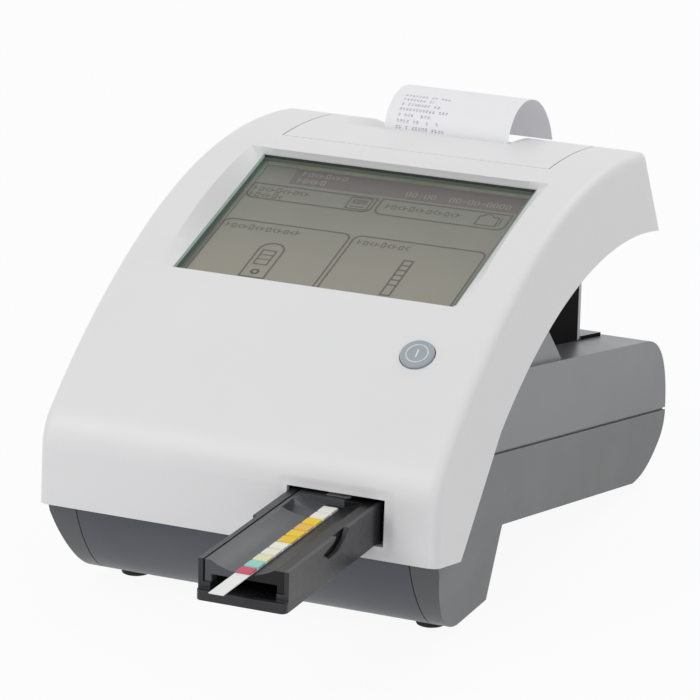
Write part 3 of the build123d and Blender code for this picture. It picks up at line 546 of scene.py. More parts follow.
@dataclass(frozen=True)
class ClearGlass:
    """Thin clear glass that lets the light through unbent."""

    name: str
    colour: Colour
    opacity: float
    roughness: float = 0.04

    def build(self) -> bpy.types.Material:
        """Almost clear, with faint smears in the gloss.

        Returns:
            The material.
        """
        shader = Shader.named(self.name)
        smear = shader.noise(shader.stretched(shader.place(), (30.0, 90.0, 90.0)), 1.0, 4.0)
        return shader.finish(
            Base_Color=self.colour, Alpha=self.opacity, IOR=1.5,
            Roughness=self.roughness + (smear - 0.5) * 0.05,
        )


@dataclass(frozen=True)
class Paper:
    """Thermal paper, bare or with rows of plain print by its along and across attributes."""

    name: str
    colour: Colour
    printed: bool = False
    ink: Colour = linear(112, 112, 126)
    row_pitch: float = 2.75 * MM
    mark_pitch: float = 1.5 * MM
    first: float = 6.5 * MM
    last: float = 26.0 * MM
    left: float = -23.5 * MM
    right: float = 0.0
    shortening: float = 11.0 * MM

    def build(self) -> bpy.types.Material:
        """Fine fibres, and where it is printed, rows of short generic marks.

        Returns:
            The material.
        """
        shader = Shader.named(self.name)
        place = shader.place()
        fibre = shader.noise(shader.stretched(place, (900.0, 500.0, 900.0)), 1.0, 4.0)
        tone = shader.mix(shaded(self.colour, 0.97), self.colour, fibre)
        if self.printed:
            tone = shader.mix(tone, self.ink, self._marks(shader))
        return shader.finish(
            Base_Color=tone, Roughness=0.62 + (fibre - 0.5) * 0.1,
            Normal=shader.bump(fibre, 0.01 * MM),
        )

    def _marks(self, shader: Shader) -> Wire:
        """Ink on the paper.

        Args:
            shader: the material being built.

        Returns:
            The ink's share.
        """
        along, across = (
            shader.node("ShaderNodeAttribute", {"attribute_name": name}, output="Fac")
            for name in ("along", "across")
        )
        line = (along - self.first) / self.row_pitch
        sign = (across - self.left) / self.mark_pitch
        inside = (line.wrapped() > 0.2) * (line.wrapped() < 0.72)
        body = (sign.wrapped() > 0.14) * (sign.wrapped() < 0.82)
        cell = shader.node("ShaderNodeCombineXYZ", inputs={0: sign.floor(), 1: line.floor()})
        chance = shader.node(
            "ShaderNodeTexWhiteNoise", {"noise_dimensions": "3D"}, {"Vector": cell}
        )
        dots = shader.node("ShaderNodeCombineXYZ", inputs={0: across, 1: along})
        stroke = shader.noise(dots, 2600.0, 0.0)
        end = self.right - (line.floor() * 0.37).wrapped() * self.shortening
        sides = (across > self.left) * (across < end)
        area = sides * (along > self.first) * (along < self.last)
        return inside * body * (chance > 0.22) * (stroke > 0.5) * area * 0.8


@dataclass(frozen=True)
class DisplayCell:
    """Face of the liquid crystal display, lighter towards the user."""

    name: str
    near: Colour
    far: Colour
    front: float
    back: float
    pixel: float = 0.42 * MM
    gap_share: float = 0.12

    def build(self) -> bpy.types.Material:
        """Tone that falls off up the display, with a faint pixel grid.

        Returns:
            The material.
        """
        shader = Shader.named(self.name)
        place = shader.place()
        x, y, _ = shader.axes(place)
        rise = (y - self.front) / (self.back - self.front)
        cloud = shader.noise(place, 22.0, 3.0)
        tone = shader.mix(self.near, self.far, rise + (cloud - 0.5) * 0.35)
        columns, rows = ((axis / self.pixel).wrapped() < self.gap_share for axis in (x, y))
        grid = shader.mix(tone, shaded(self.far, 0.75), (columns + rows) * 0.18)
        return shader.finish(Base_Color=grid, Roughness=0.38 + (cloud - 0.5) * 0.06, IOR=1.45)


@dataclass(frozen=True)
class PadColours:
    """Printed reagent pads, one colour for each place along the strip."""

    name: str
    colours: tuple[Colour, ...]
    fibre: Colour = linear(250, 248, 236)

    def build(self) -> bpy.types.Material:
        """Colour by the pad's number, with an absorbent weave.

        Returns:
            The material.
        """
        shader = Shader.named(self.name)
        number = shader.node("ShaderNodeAttribute", {"attribute_name": "pad_number"}, output="Fac")
        count = len(self.colours)
        stops = [(index / count, colour) for index, colour in enumerate(self.colours)]
        shade = (number + 0.5) / count
        flat = shader.node("ShaderNodeValToRGB", {"stops": stops}, {"Fac": shade})
        weave = shader.noise(shader.place(), 1900.0, 3.0)
        tone = shader.mix(flat, self.fibre, (weave - 0.35) * 0.25)
        return shader.finish(Base_Color=tone, Roughness=0.85, Normal=shader.bump(weave, 0.04 * MM))


@dataclass(frozen=True)
class CircuitBoard:
    """Coated board with copper tracks under the green."""

    name: str
    colour: Colour
    cell_scale: float = 260.0
    tracks_each: float = 7.0
    track_share: float = 0.45

    def build(self) -> bpy.types.Material:
        """Tracks as a lighter stepped pattern.

        Returns:
            The material.
        """
        shader = Shader.named(self.name)
        place = shader.place()
        values = {"Vector": place, "Scale": self.cell_scale}
        cells = shader.node(
            "ShaderNodeTexVoronoi", {"feature": "F1", "distance": "MANHATTAN"}, values, "Distance"
        )
        track = (cells * self.tracks_each).wrapped() < self.track_share
        tone = shader.mix(self.colour, shaded(self.colour, 1.9), track * 0.6)
        return shader.finish(
            Base_Color=tone, Roughness=0.3 + track * 0.08, Normal=shader.bump(track, 0.02 * MM)
        )


class Finish(Enum):
    """The finishes of the analyzer, each with the record's slot that it stands for."""

    COVER = ("cover_white", CoverPlastic("cover_white", linear(232, 232, 233), 0.42))
    LID = ("cover_white", MouldedPlastic("lid_white", linear(233, 233, 234), 0.42))
    BASE = ("base_grey", BaseMoulding("base_grey", linear(96, 98, 100), 0.38, 0.6 * MM, 0.03 * MM))
    # painted light: a lighter copy of the base plastic for the upper half
    BASE_TOP = ("base_grey", BaseMoulding(
        "base_grey_upper", linear(114, 115, 119), 0.34, 0.6 * MM, 0.03 * MM
    ))
    # painted shade: near black for the core's walls, which are base plastic in the shade of the
    # cover
    CORE = ("base_grey", MouldedPlastic("core_black", (0.004, 0.004, 0.005), 0.8, specular=0.05))
    PEDESTAL = ("base_grey", MouldedPlastic(
        "pedestal_grey", linear(78, 83, 92), 0.40, 0.6 * MM, 0.03 * MM
    ))
    PANEL = ("panel_grey", MouldedPlastic("panel_grey", linear(186, 188, 191), 0.42))
    SHROUD = ("shroud_dark", MouldedPlastic("shroud_dark", linear(34, 34, 37), 0.55, specular=0.3))
    TABLE = ("table_dark", MouldedPlastic(
        "table_dark", linear(46, 46, 49), 0.27, 0.35 * MM, specular=0.35
    ))
    INSERT = ("table_dark", InsertMoulding(
        "insert_dark", linear(82, 84, 87), 0.3, 0.3 * MM, specular=0.25
    ))
    GLASS = ("glass", ClearGlass("touch_glass", linear(190, 205, 196), 0.05))
    # painted light: pale whitish green near the face of the side edges
    GLASS_SIDE = ("glass", GlassEdge(
        "glass_side", linear(204, 238, 227), linear(92, 112, 104), 1.3 * MM
    ))
    # painted shadow: dark green near the face of the end edges
    GLASS_END = ("glass", GlassEdge("glass_end", linear(34, 46, 32), linear(98, 104, 94), 1.4 * MM))
    # painted light: the black rubber gasket given a pale grey green that stands in for the lit
    # edges of the glass
    GASKET = ("rubber_black", Rubber("display_gasket", linear(104, 106, 96)))
    RUBBER = ("rubber_black", Rubber("foot_rubber", linear(38, 38, 39)))
    BUTTON = ("button_grey", MouldedPlastic("button_grey", linear(160, 169, 176), 0.35, 0.3 * MM))
    BUTTON_MARK = ("button_grey", MouldedPlastic("button_mark", linear(238, 240, 242), 0.4))
    FRAME = ("frame_black", MouldedPlastic("frame_black", linear(36, 36, 37), 0.5))
    STEEL = ("steel", Metal("steel", linear(176, 177, 179), 0.34))
    BRIGHT = ("bright_steel", Metal("bright_steel", linear(214, 214, 216), 0.18))
    ACETAL = ("gear_white", MouldedPlastic("gear_white", linear(232, 229, 216), 0.38))
    BOARD = ("board_green", CircuitBoard("board_green", linear(22, 84, 48)))
    CHIP = ("chip_black", MouldedPlastic("chip_black", linear(40, 40, 42), 0.45, 0.2 * MM))
    PAPER = ("paper", Paper("paper", linear(240, 240, 241)))
    PRINTED = ("paper", Paper("printed_paper", linear(246, 246, 249), True))
    CARD = ("core_card", MouldedPlastic(
        "core_card", linear(168, 140, 104), 0.8, 0.8 * MM, 0.05 * MM
    ))
    STRIP = ("strip_white", MouldedPlastic("strip_white", linear(240, 240, 239), 0.35, 0.2 * MM))
    CELL = ("cell", MouldedPlastic("cell_wrap", linear(44, 46, 52), 0.28, 0.9 * MM, 0.01 * MM))
    LENS = ("lens", ClearGlass("lens", linear(225, 232, 238), 0.35, 0.05))
    PADS = ("pads", PadColours("reagent_pads", (
        linear(243, 242, 236), linear(242, 241, 232), linear(243, 210, 31), linear(240, 190, 84),
        linear(240, 205, 50), linear(236, 200, 48), linear(242, 240, 226), linear(240, 238, 220),
        linear(232, 230, 190), linear(150, 214, 206), linear(201, 80, 106),
    )))
    DISPLAY = ("lcd", DisplayCell(
        "display_cell", linear(150, 144, 129), linear(106, 105, 99), -11.0 * MM, 80.0 * MM
    ))
    DISPLAY_INK = ("lcd", MouldedPlastic("display_ink", linear(82, 72, 62), 0.5, 0.2 * MM))
    DISPLAY_BAR = ("lcd", MouldedPlastic("display_bar", linear(98, 86, 86), 0.5, 0.2 * MM))
    DISPLAY_PALE = ("lcd", MouldedPlastic("display_pale", linear(142, 136, 126), 0.5, 0.2 * MM))

    @property
    def slot(self) -> str:
        """The record's material slot."""
        return self.value[0]

    @cache
    def material(self) -> bpy.types.Material:
        """The finish's one shared material, built when it is first asked for."""
        return self.value[1].build()


# ---------------------------------------------------------------- mesh helpers
def linked(name: str, data: bpy.types.ID) -> bpy.types.Object:
    """Adds an object to the scene.

    Args:
        name: its name.
        data: its mesh, light or camera.

    Returns:
        The new object.
    """
    made = bpy.data.objects.new(name, data)
    bpy.context.scene.collection.objects.link(made)
    return made


def settled(form: bmesh.types.BMesh, name: str) -> bpy.types.Mesh:
    """Turns a finished form into a mesh.

    Args:
        form: the form, which is freed.
        name: the mesh's name.

    Returns:
        The new mesh.
    """
    mesh = bpy.data.meshes.new(name)
    form.to_mesh(mesh)
    form.free()
    return mesh


def dress_node(node: str, finish: Finish) -> None:
    """Gives a CAD node that stays in view its finish.

    Args:
        node: the CAD node.
        finish: its finish.
    """
    target = frame["nodes"][node]
    target.data.materials.clear()
    target.data.materials.append(finish.material())
    LOG.info("node %s: %s", node, finish.name)


def add_piece(
    name: str, mesh: bpy.types.Mesh, body: str, finish: Finish, replaced: Iterable[str] = ()
) -> bpy.types.Object:
    """Links a finished mesh as a piece of the object.

    Args:
        name: the piece's name.
        mesh: its mesh, in place.
        body: the CAD body that it rides on.
        finish: its finish, used where the mesh has no material yet.
        replaced: CAD nodes that it stands for.

    Returns:
        The new object.
    """
    piece = linked(name, mesh)
    if not mesh.materials:
        mesh.materials.append(finish.material())
    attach(piece, body)
    nodes = tuple(replaced)
    if nodes:
        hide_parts(*nodes)
    LOG.info("piece %s on %s, %d faces", name, body, len(mesh.polygons))
    return piece


def smooth_shaded(form: bmesh.types.BMesh, angle: float = 28.0) -> None:
    """Marks the edges that stay sharp and smooths the rest.

    Args:
        form: the form.
        angle: the least angle of a sharp edge, in degrees.
    """
    limit = math.radians(angle)
    for edge in form.edges:
        edge.smooth = len(edge.link_faces) == 2 and edge.calc_face_angle(0.0) < limit
    for face in form.faces:
        face.smooth = True


def skin_of(node: str) -> bpy.types.Mesh:
    """Clean copy of a CAD node's mesh, merged, with its flat faces made whole.

    Args:
        node: the CAD node.

    Returns:
        A new mesh in the same place.
    """
    form = bmesh.new()
    form.from_mesh(frame["nodes"][node].data)
    bmesh.ops.remove_doubles(form, verts=form.verts, dist=0.002 * MM)
    bmesh.ops.dissolve_limit(
        form, angle_limit=math.radians(0.4), verts=form.verts, edges=form.edges, delimit=set()
    )
    smooth_shaded(form)
    return settled(form, f"{node}_skin")


def rounded(piece: bpy.types.Object, width: float, segments: int = 2, angle: float = 32.0) -> None:
    """Rounds a piece's hard edges, as a moulding's are.

    Args:
        piece: the piece.
        width: how far back from the edge the rounding starts.
        segments: faces across it.
        angle: the least angle of a hard edge, in degrees.
    """
    bevel = piece.modifiers.new("rounding", "BEVEL")
    bevel.width = width
    bevel.segments = segments
    bevel.limit_method = "ANGLE"
    bevel.angle_limit = math.radians(angle)
    bevel.harden_normals = True
    bevel.use_clamp_overlap = True


@dataclass(frozen=True)
class Refined:
    """A CAD piece whose own shape is shown with rounded edges and its finish."""

    node: str
    body: str
    finish: Finish
    rounding: float

    def build(self) -> bpy.types.Object:
        """Adds the piece in its node's place.

        Returns:
            The piece.
        """
        name = f"{self.node}_moulding"
        piece = add_piece(name, skin_of(self.node), self.body, self.finish, [self.node])
        if self.rounding > 0:
            rounded(piece, self.rounding)
        return piece


@dataclass
class Sheet:
    """Flat artwork made of thin raised shapes on a plane."""

    origin: Vector
    across: Vector
    upward: Vector
    outward: Vector
    thickness: float
    form: bmesh.types.BMesh = field(default_factory=bmesh.new)

    def at(self, x: float, v: float, lift: float = 0.0) -> Vector:
        """Point at x across, v up and a lift off the plane."""
        return self.origin + self.across * x + self.upward * v + self.outward * lift

    def slab(self, outline: Outline) -> None:
        """Raises a filled outline by the sheet's thickness.

        Args:
            outline: its points.
        """
        low = [self.form.verts.new(self.at(x, v)) for x, v in outline]
        high = [self.form.verts.new(self.at(x, v, self.thickness)) for x, v in outline]
        self.form.faces.new(high)
        self.form.faces.new(low[::-1])
        count = len(outline)
        for index in range(count):
            after = (index + 1) % count
            self.form.faces.new((low[index], low[after], high[after], high[index]))

    def band(self, outline: Outline, width: float, closed: bool = True) -> None:
        """Raises a line of a width along a path.

        Args:
            outline: the path's points.
            width: the line's width.
            closed: whether the last point joins the first.
        """
        points = [Vector(point) for point in outline]
        count = len(points)
        spans = count if closed else count - 1
        for index in range(spans):
            first = points[index]
            last = points[(index + 1) % count]
            along = (last - first).normalized()
            side = Vector((-along.y, along.x)) * width / 2
            reach = along * width * 0.3
            start, end = first - reach, last + reach
            corners = (start + side, start - side, end - side, end + side)
            self.slab([(corner.x, corner.y) for corner in corners])

    def piece(self, name: str, body: str, finish: Finish) -> bpy.types.Object:
        """Ends the artwork as a piece.

        Args:
            name: the piece's name.
            body: the CAD body that it rides on.
            finish: its finish.

        Returns:
            The piece.
        """
        bmesh.ops.recalc_face_normals(self.form, faces=self.form.faces)
        return add_piece(name, settled(self.form, name), body, finish)


def metres(*millimetres: float) -> tuple[float, ...]:
    """Millimetres as metres."""
    return tuple(value * MM for value in millimetres)


def rectangle(x0: float, x1: float, v0: float, v1: float) -> Outline:
    """Outline from left, right, lower and upper edge, anticlockwise."""
    return [(x0, v0), (x1, v0), (x1, v1), (x0, v1)]


def round_rectangle(
    x0: float, x1: float, v0: float, v1: float, radius: float, steps: int = 5
) -> Outline:
    """Outline of a rectangle with rounded corners.

    Args:
        x0: left edge.
        x1: right edge.
        v0: lower edge.
        v1: upper edge.
        radius: corner radius.
        steps: spans in each corner.

    Returns:
        Its points, anticlockwise.
    """
    centres = (
        (x1 - radius, v0 + radius, -90), (x1 - radius, v1 - radius, 0),
        (x0 + radius, v1 - radius, 90), (x0 + radius, v0 + radius, 180),
    )
    points = []
    for cx, cv, start in centres:
        for step in range(steps + 1):
            angle = math.radians(start + 90 * step / steps)
            points.append((cx + radius * math.cos(angle), cv + radius * math.sin(angle)))
    return points


def half_rounded(
    x0: float, x1: float, v0: float, v1: float, radius: float, top: bool, steps: int = 5
) -> Outline:
    """Outline of a field whose two upper or two lower corners are rounded.

    Args:
        x0: left edge.
        x1: right edge.
        v0: lower edge.
        v1: upper edge.
        radius: corner radius.
        top: whether the upper corners are the round ones.
        steps: spans in each round corner.

    Returns:
        Its points, anticlockwise.
    """
    full = round_rectangle(x0, x1, v0, v1, radius, steps)
    span = steps + 1
    if top:
        return [(x1, v0), *full[span:3 * span], (x0, v0)]
    return [*full[:span], (x1, v1), (x0, v1), *full[3 * span:]]


def circle(cx: float, cv: float, radius: float, steps: int = 24) -> Outline:
    """Points round a circle."""
    angles = [2 * math.pi * step / steps for step in range(steps)]
    return [(cx + radius * math.cos(angle), cv + radius * math.sin(angle)) for angle in angles]


# ---------------------------------------------------------------- geometry nodes
class Repeater:
    """A Geometry Nodes tree that repeats a shape, ending in real faces with one material."""

    def __init__(self, name: str, sizes: dict[str, tuple[str, object]]) -> None:
        """Starts the tree with its named inputs.

        Args:
            name: the tree's name.
            sizes: socket type and value for each input.
        """
        self.tree = bpy.data.node_groups.new(name, "GeometryNodeTree")
        self.sizes = sizes
        self.inputs = {}
        interface = self.tree.interface
        interface.new_socket("Geometry", in_out="OUTPUT", socket_type="NodeSocketGeometry")
        for label, (kind, _) in sizes.items():
            socket = interface.new_socket(label, in_out="INPUT", socket_type=kind)
            self.inputs[label] = socket.identifier
        self.entry = self.tree.nodes.new("NodeGroupInput")
        self.exit = self.tree.nodes.new("NodeGroupOutput")

    def value(self, label: str) -> bpy.types.NodeSocket:
        """The group's input socket of a name."""
        return self.entry.outputs[label]

    def node(
        self, kind: str, settings: dict[str, object] | None = None,
        inputs: dict[str | int, object] | None = None,
    ) -> bpy.types.Node:
        """Adds a node.

        Args:
            kind: the node's type.
            settings: attributes that are set first.
            inputs: values or sockets for its inputs, by name or number.

        Returns:
            The node.
        """
        made = self.tree.nodes.new(kind)
        for key, value in (settings or {}).items():
            setattr(made, key, value)
        for key, value in (inputs or {}).items():
            if isinstance(value, bpy.types.NodeSocket):
                self.tree.links.new(value, made.inputs[key])
            else:
                made.inputs[key].default_value = value
        return made

    def make(self, instances: bpy.types.NodeSocket, material: bpy.types.Material) -> bpy.types.Mesh:
        """Ends the tree and turns its result into a plain mesh.

        Args:
            instances: the repeated shapes.
            material: their material.

        Returns:
            The real mesh.
        """
        real = self.node("GeometryNodeRealizeInstances", inputs={0: instances})
        dressed = self.node(
            "GeometryNodeSetMaterial", inputs={"Geometry": real.outputs[0], "Material": material}
        )
        self.tree.links.new(dressed.outputs[0], self.exit.inputs[0])
        holder = linked(self.tree.name, bpy.data.meshes.new(self.tree.name))
        modifier = holder.modifiers.new(self.tree.name, "NODES")
        modifier.node_group = self.tree
        for label, (_, value) in self.sizes.items():
            modifier[self.inputs[label]] = value
        seen = holder.evaluated_get(bpy.context.evaluated_depsgraph_get())
        mesh = bpy.data.meshes.new_from_object(seen)
        bpy.data.objects.remove(holder)
        return mesh


# ---------------------------------------------------------------- sub-assemblies
@dataclass
class Cover:
    """White cover and the printer lid."""

    rounding: float = 0.45 * MM
    lid_rounding: float = 0.4 * MM

    def build(self) -> None:
        """Adds the shell, the lid and the hinge pins' finish."""
        Refined("top_cover", "housing", Finish.COVER, self.rounding).build()
        Refined("printer_lid", "lid", Finish.LID, self.lid_rounding).build()
        dress_node("lid_hinge_pins", Finish.STEEL)


@dataclass
class Display:
    """Touch glass over the display cell with its generic drawing."""

    front: Vector = field(default_factory=lambda: Vector((0, -64.7 * MM + ROW_SHIFT, 123.4 * MM)))
    tilt: float = math.radians(17.0)
    width: float = 122.3 * MM
    length: float = 92.7 * MM
    thickness: float = 3.0 * MM
    film_depth: float = 3.2 * MM       # below the face of the glass
    film_thickness: float = 0.25 * MM
    film_margin: float = 2.8 * MM      # in from the edge of the glass, inside the gasket
    ink_thickness: float = 0.03 * MM
    line: float = 0.8 * MM
    corner: float = 3.6 * MM

    def __post_init__(self) -> None:
        """Works out the plane of the glass."""
        self.across = Vector((1, 0, 0))
        self.upward = Vector((0, math.cos(self.tilt), math.sin(self.tilt)))
        self.outward = Vector((0, -math.sin(self.tilt), math.cos(self.tilt)))

    def build(self) -> None:
        """Adds the glass, the film under it and what it shows."""
        self._glass()
        for node, finish in (("lcd_panel", Finish.DISPLAY), ("lcd_frame", Finish.FRAME),
                             ("glass_gasket", Finish.GASKET)):
            dress_node(node, finish)
        self._film()
        self._bar()
        self._drawing()
        self._pale_marks()

    def _sheet(self, lift: float, thickness: float) -> Sheet:
        """Plane over the film, with x from the middle and v up the glass.

        Args:
            lift: how far it is raised.
            thickness: of what is drawn on it.

        Returns:
            The empty sheet.
        """
        origin = self.front + self.outward * (lift - self.film_depth)
        return Sheet(origin, self.across, self.upward, self.outward, thickness)

    def _glass(self) -> None:
        """Glass plate, with its green ends darkened by painted shadow and its sides made pale by
        painted light.
        """
        mesh = skin_of("touch_glass")
        for finish in (Finish.GLASS, Finish.GLASS_SIDE, Finish.GLASS_END):
            mesh.materials.append(finish.material())
        for face in mesh.polygons:
            if abs(face.normal.x) > 0.7:
                face.material_index = 1
            elif abs(face.normal.dot(self.upward)) > 0.7:
                face.material_index = 2
        add_piece("touch_glass_plate", mesh, "housing", Finish.GLASS, ["touch_glass"])

    def _film(self) -> None:
        """Polarising film of the display, inside the gasket."""
        half = self.width / 2 - self.film_margin
        sheet = self._sheet(-self.film_thickness, self.film_thickness)
        sheet.slab(rectangle(-half, half, self.film_margin, self.length - self.film_margin))
        sheet.piece("display_film", "housing", Finish.DISPLAY)

    def _bar(self) -> None:
        """Dark heading bar."""
        sheet = self._sheet(0.01 * MM, self.ink_thickness)
        sheet.slab(rectangle(*metres(-44.2, 58.2, 78.0, 89.6)))
        sheet.piece("display_heading", "housing", Finish.DISPLAY_BAR)

    def _drawing(self) -> None:
        """Tabs, two large fields, their icons and caption marks."""
        sheet = self._sheet(0.05 * MM, self.ink_thickness)
        for edges, top in (
            ((-58.2, -2.2, 64.2, 75.4), False), ((-0.2, 57.0, 64.2, 76.0), False),
            ((-58.2, -2.0, 4.6, 46.6), True), ((0.0, 57.4, 4.6, 46.6), True),
        ):
            sheet.band(half_rounded(*metres(*edges), self.corner, top), self.line)
        for icon in (self._device_icon, self._folder_icon, self._cassette_icon, self._strip_icon):
            icon(sheet)
        for x, v, marks in ((-56.6, 70.0, 10), (-56.6, 65.4, 6), (3.4, 69.4, 13),
                            (-56.0, 40.4, 13), (2.8, 40.4, 9)):
            self._caption(sheet, x, v, marks)
        sheet.piece("display_drawing", "housing", Finish.DISPLAY_INK)

    @staticmethod
    def _caption(sheet: Sheet, x: float, v: float, marks: int) -> None:
        """Row of short plain strokes in the place of a caption.

        Args:
            sheet: the artwork.
            x: left edge in millimetres.
            v: foot in millimetres.
            marks: how many strokes.
        """
        for index in range(marks):
            left = (x + index * 2.6) * MM
            foot = v * MM
            top = foot + (2.6 if index % 4 else 3.2) * MM
            right = left + 1.5 * MM
            middle = (foot + top) / 2
            if index % 3 == 0:
                sheet.band([(left, foot), (left, top)], 0.5 * MM, False)
                sheet.band([(left, middle), (right, middle)], 0.45 * MM, False)
            elif index % 3 == 1:
                sheet.band(rectangle(left, right, foot, top), 0.45 * MM)
            else:
                sheet.band([(right, foot), (left, middle), (right, top)], 0.45 * MM, False)

    @staticmethod
    def _device_icon(sheet: Sheet) -> None:
        """Small device with a display.

        Args:
            sheet: the artwork.
        """
        x0, x1, v0, v1 = metres(-13.4, -3.9, 65.6, 74.4)
        sheet.band(round_rectangle(x0, x1, v0, v1, 1.1 * MM, 3), 0.7 * MM)
        inner = 1.9 * MM
        left, right, top = x0 + inner, x1 - inner, v1 - inner
        low = (v0 + v1) / 2
        rung = (low + top) / 2
        foot = v0 + 1.8 * MM
        sheet.band(rectangle(left, right, low, top), 0.6 * MM)
        sheet.band([(left, rung), (right, rung)], 0.45 * MM, False)
        sheet.band([(left, foot), (right, foot)], 0.6 * MM, False)

    @staticmethod
    def _folder_icon(sheet: Sheet) -> None:
        """Folder with a tab.

        Args:
            sheet: the artwork.
        """
        x0, x1, v0, v1 = metres(43.9, 52.6, 66.4, 74.6)
        shelf = v1 - 1.6 * MM
        sheet.band([(x0, v0), (x1, v0), (x1, shelf), (x0 + 6.0 * MM, shelf), (x0 + 5.0 * MM, v1),
                    (x0 + 2.2 * MM, v1), (x0 + 1.2 * MM, shelf), (x0, shelf)], 0.65 * MM)
        right = x1 + 1.3 * MM
        sheet.band([(right, v0 + 1.0 * MM), (right, shelf)], 0.5 * MM, False)

    @staticmethod
    def _cassette_icon(sheet: Sheet) -> None:
        """Cassette with a round-ended body, a window and a well.

        Args:
            sheet: the artwork.
        """
        x0, x1, v0, v1 = metres(-35.0, -24.2, 6.4, 32.4)
        middle = (x0 + x1) / 2
        radius = (x1 - x0) / 2
        crown = [
            (middle + radius * math.cos(angle), v1 - radius + radius * math.sin(angle))
            for angle in (math.pi * step / 8 for step in range(9))
        ]
        sheet.band([(x0, v0), (x1, v0), *crown], 0.8 * MM)
        x2, x3, low, high = metres(-32.8, -27.0, 16.2, 26.8)
        sheet.band(rectangle(x2, x3, low, high), 0.65 * MM)
        for share in (0.36, 0.68):
            rung = low + (high - low) * share
            sheet.band([(x2, rung), (x3, rung)], 0.5 * MM, False)
        sheet.band(circle(middle, 10.6 * MM, 1.5 * MM, 14), 0.9 * MM)

    @staticmethod
    def _strip_icon(sheet: Sheet) -> None:
        """Test strip with its pads.

        Args:
            sheet: the artwork.
        """
        x0, x1, v0, v1 = metres(26.6, 30.6, 7.0, 33.2)
        sheet.band(rectangle(x0, x1, v0, v1), 0.8 * MM)
        for rung in metres(14.6, 18.4, 22.1, 25.8, 29.5):
            sheet.band([(x0, rung), (x1, rung)], 0.75 * MM, False)

    def _pale_marks(self) -> None:
        """Pale marks on the heading bar: two caption rows and plain digits."""
        sheet = self._sheet(0.05 * MM, self.ink_thickness)
        self._caption(sheet, -40.6, 85.2, 8)
        self._caption(sheet, -40.8, 79.8, 5)
        self._digits(sheet, "00:00", 8.0, 80.0)
        self._digits(sheet, "00-00-0000", 27.4, 80.0)
        sheet.piece("display_heading_marks", "housing", Finish.DISPLAY_PALE)

    @staticmethod
    def _digits(sheet: Sheet, text: str, x: float, v: float) -> None:
        """Plain figures, drawn as bands.

        Args:
            sheet: the artwork.
            text: figures, with a colon or a dash between them.
            x: left edge in millimetres.
            v: foot in millimetres.
        """
        wide, tall, pitch = 1.6, 3.4, 2.75
        for index, sign in enumerate(text):
            left = x + index * pitch
            edges = metres(left, left + wide, v, v + tall)
            middle = (v + tall / 2) * MM
            if sign == "-":
                sheet.band([(edges[0], middle), (edges[1], middle)], 0.5 * MM, False)
            elif sign == ":":
                for height in (0.9, 2.5):
                    spot = ((left + wide / 2) * MM, (v + height) * MM)
                    sheet.slab(circle(*spot, 0.4 * MM, 8))
            else:
                sheet.band(round_rectangle(*edges, 0.6 * MM, 2), 0.5 * MM)


@dataclass
class PowerButton:
    """Round grey button with its ring and plain on-off sign."""

    ring_radius: float = 4.4 * MM
    line: float = 0.55 * MM
    lift: float = 0.06 * MM

    def build(self) -> None:
        """Adds the cap, its sign and the collar's finish."""
        Refined("power_button", "button", Finish.BUTTON, 0.2 * MM).build()
        dress_node("button_switch", Finish.CHIP)
        joints = {joint["name"]: joint for joint in frame["joints"]}
        outward = -Vector(joints["button_press"]["axis"]).normalized()
        points = [vertex.co for vertex in frame["nodes"]["power_button"].data.vertices]
        top = max(point.dot(outward) for point in points)
        face = [point for point in points if top - point.dot(outward) < 0.01 * MM]
        centre = sum(face, Vector()) / len(face)
        across = Vector((1, 0, 0))
        upward = outward.cross(across)
        sheet = Sheet(centre - outward * self.lift / 2, across, upward, outward, self.lift)
        sheet.band(circle(0.0, 0.0, self.ring_radius, 40), self.line)
        sheet.band([(0.0, -1.7 * MM), (0.0, 1.7 * MM)], self.line, False)
        sheet.piece("button_sign", "button", Finish.BUTTON_MARK)


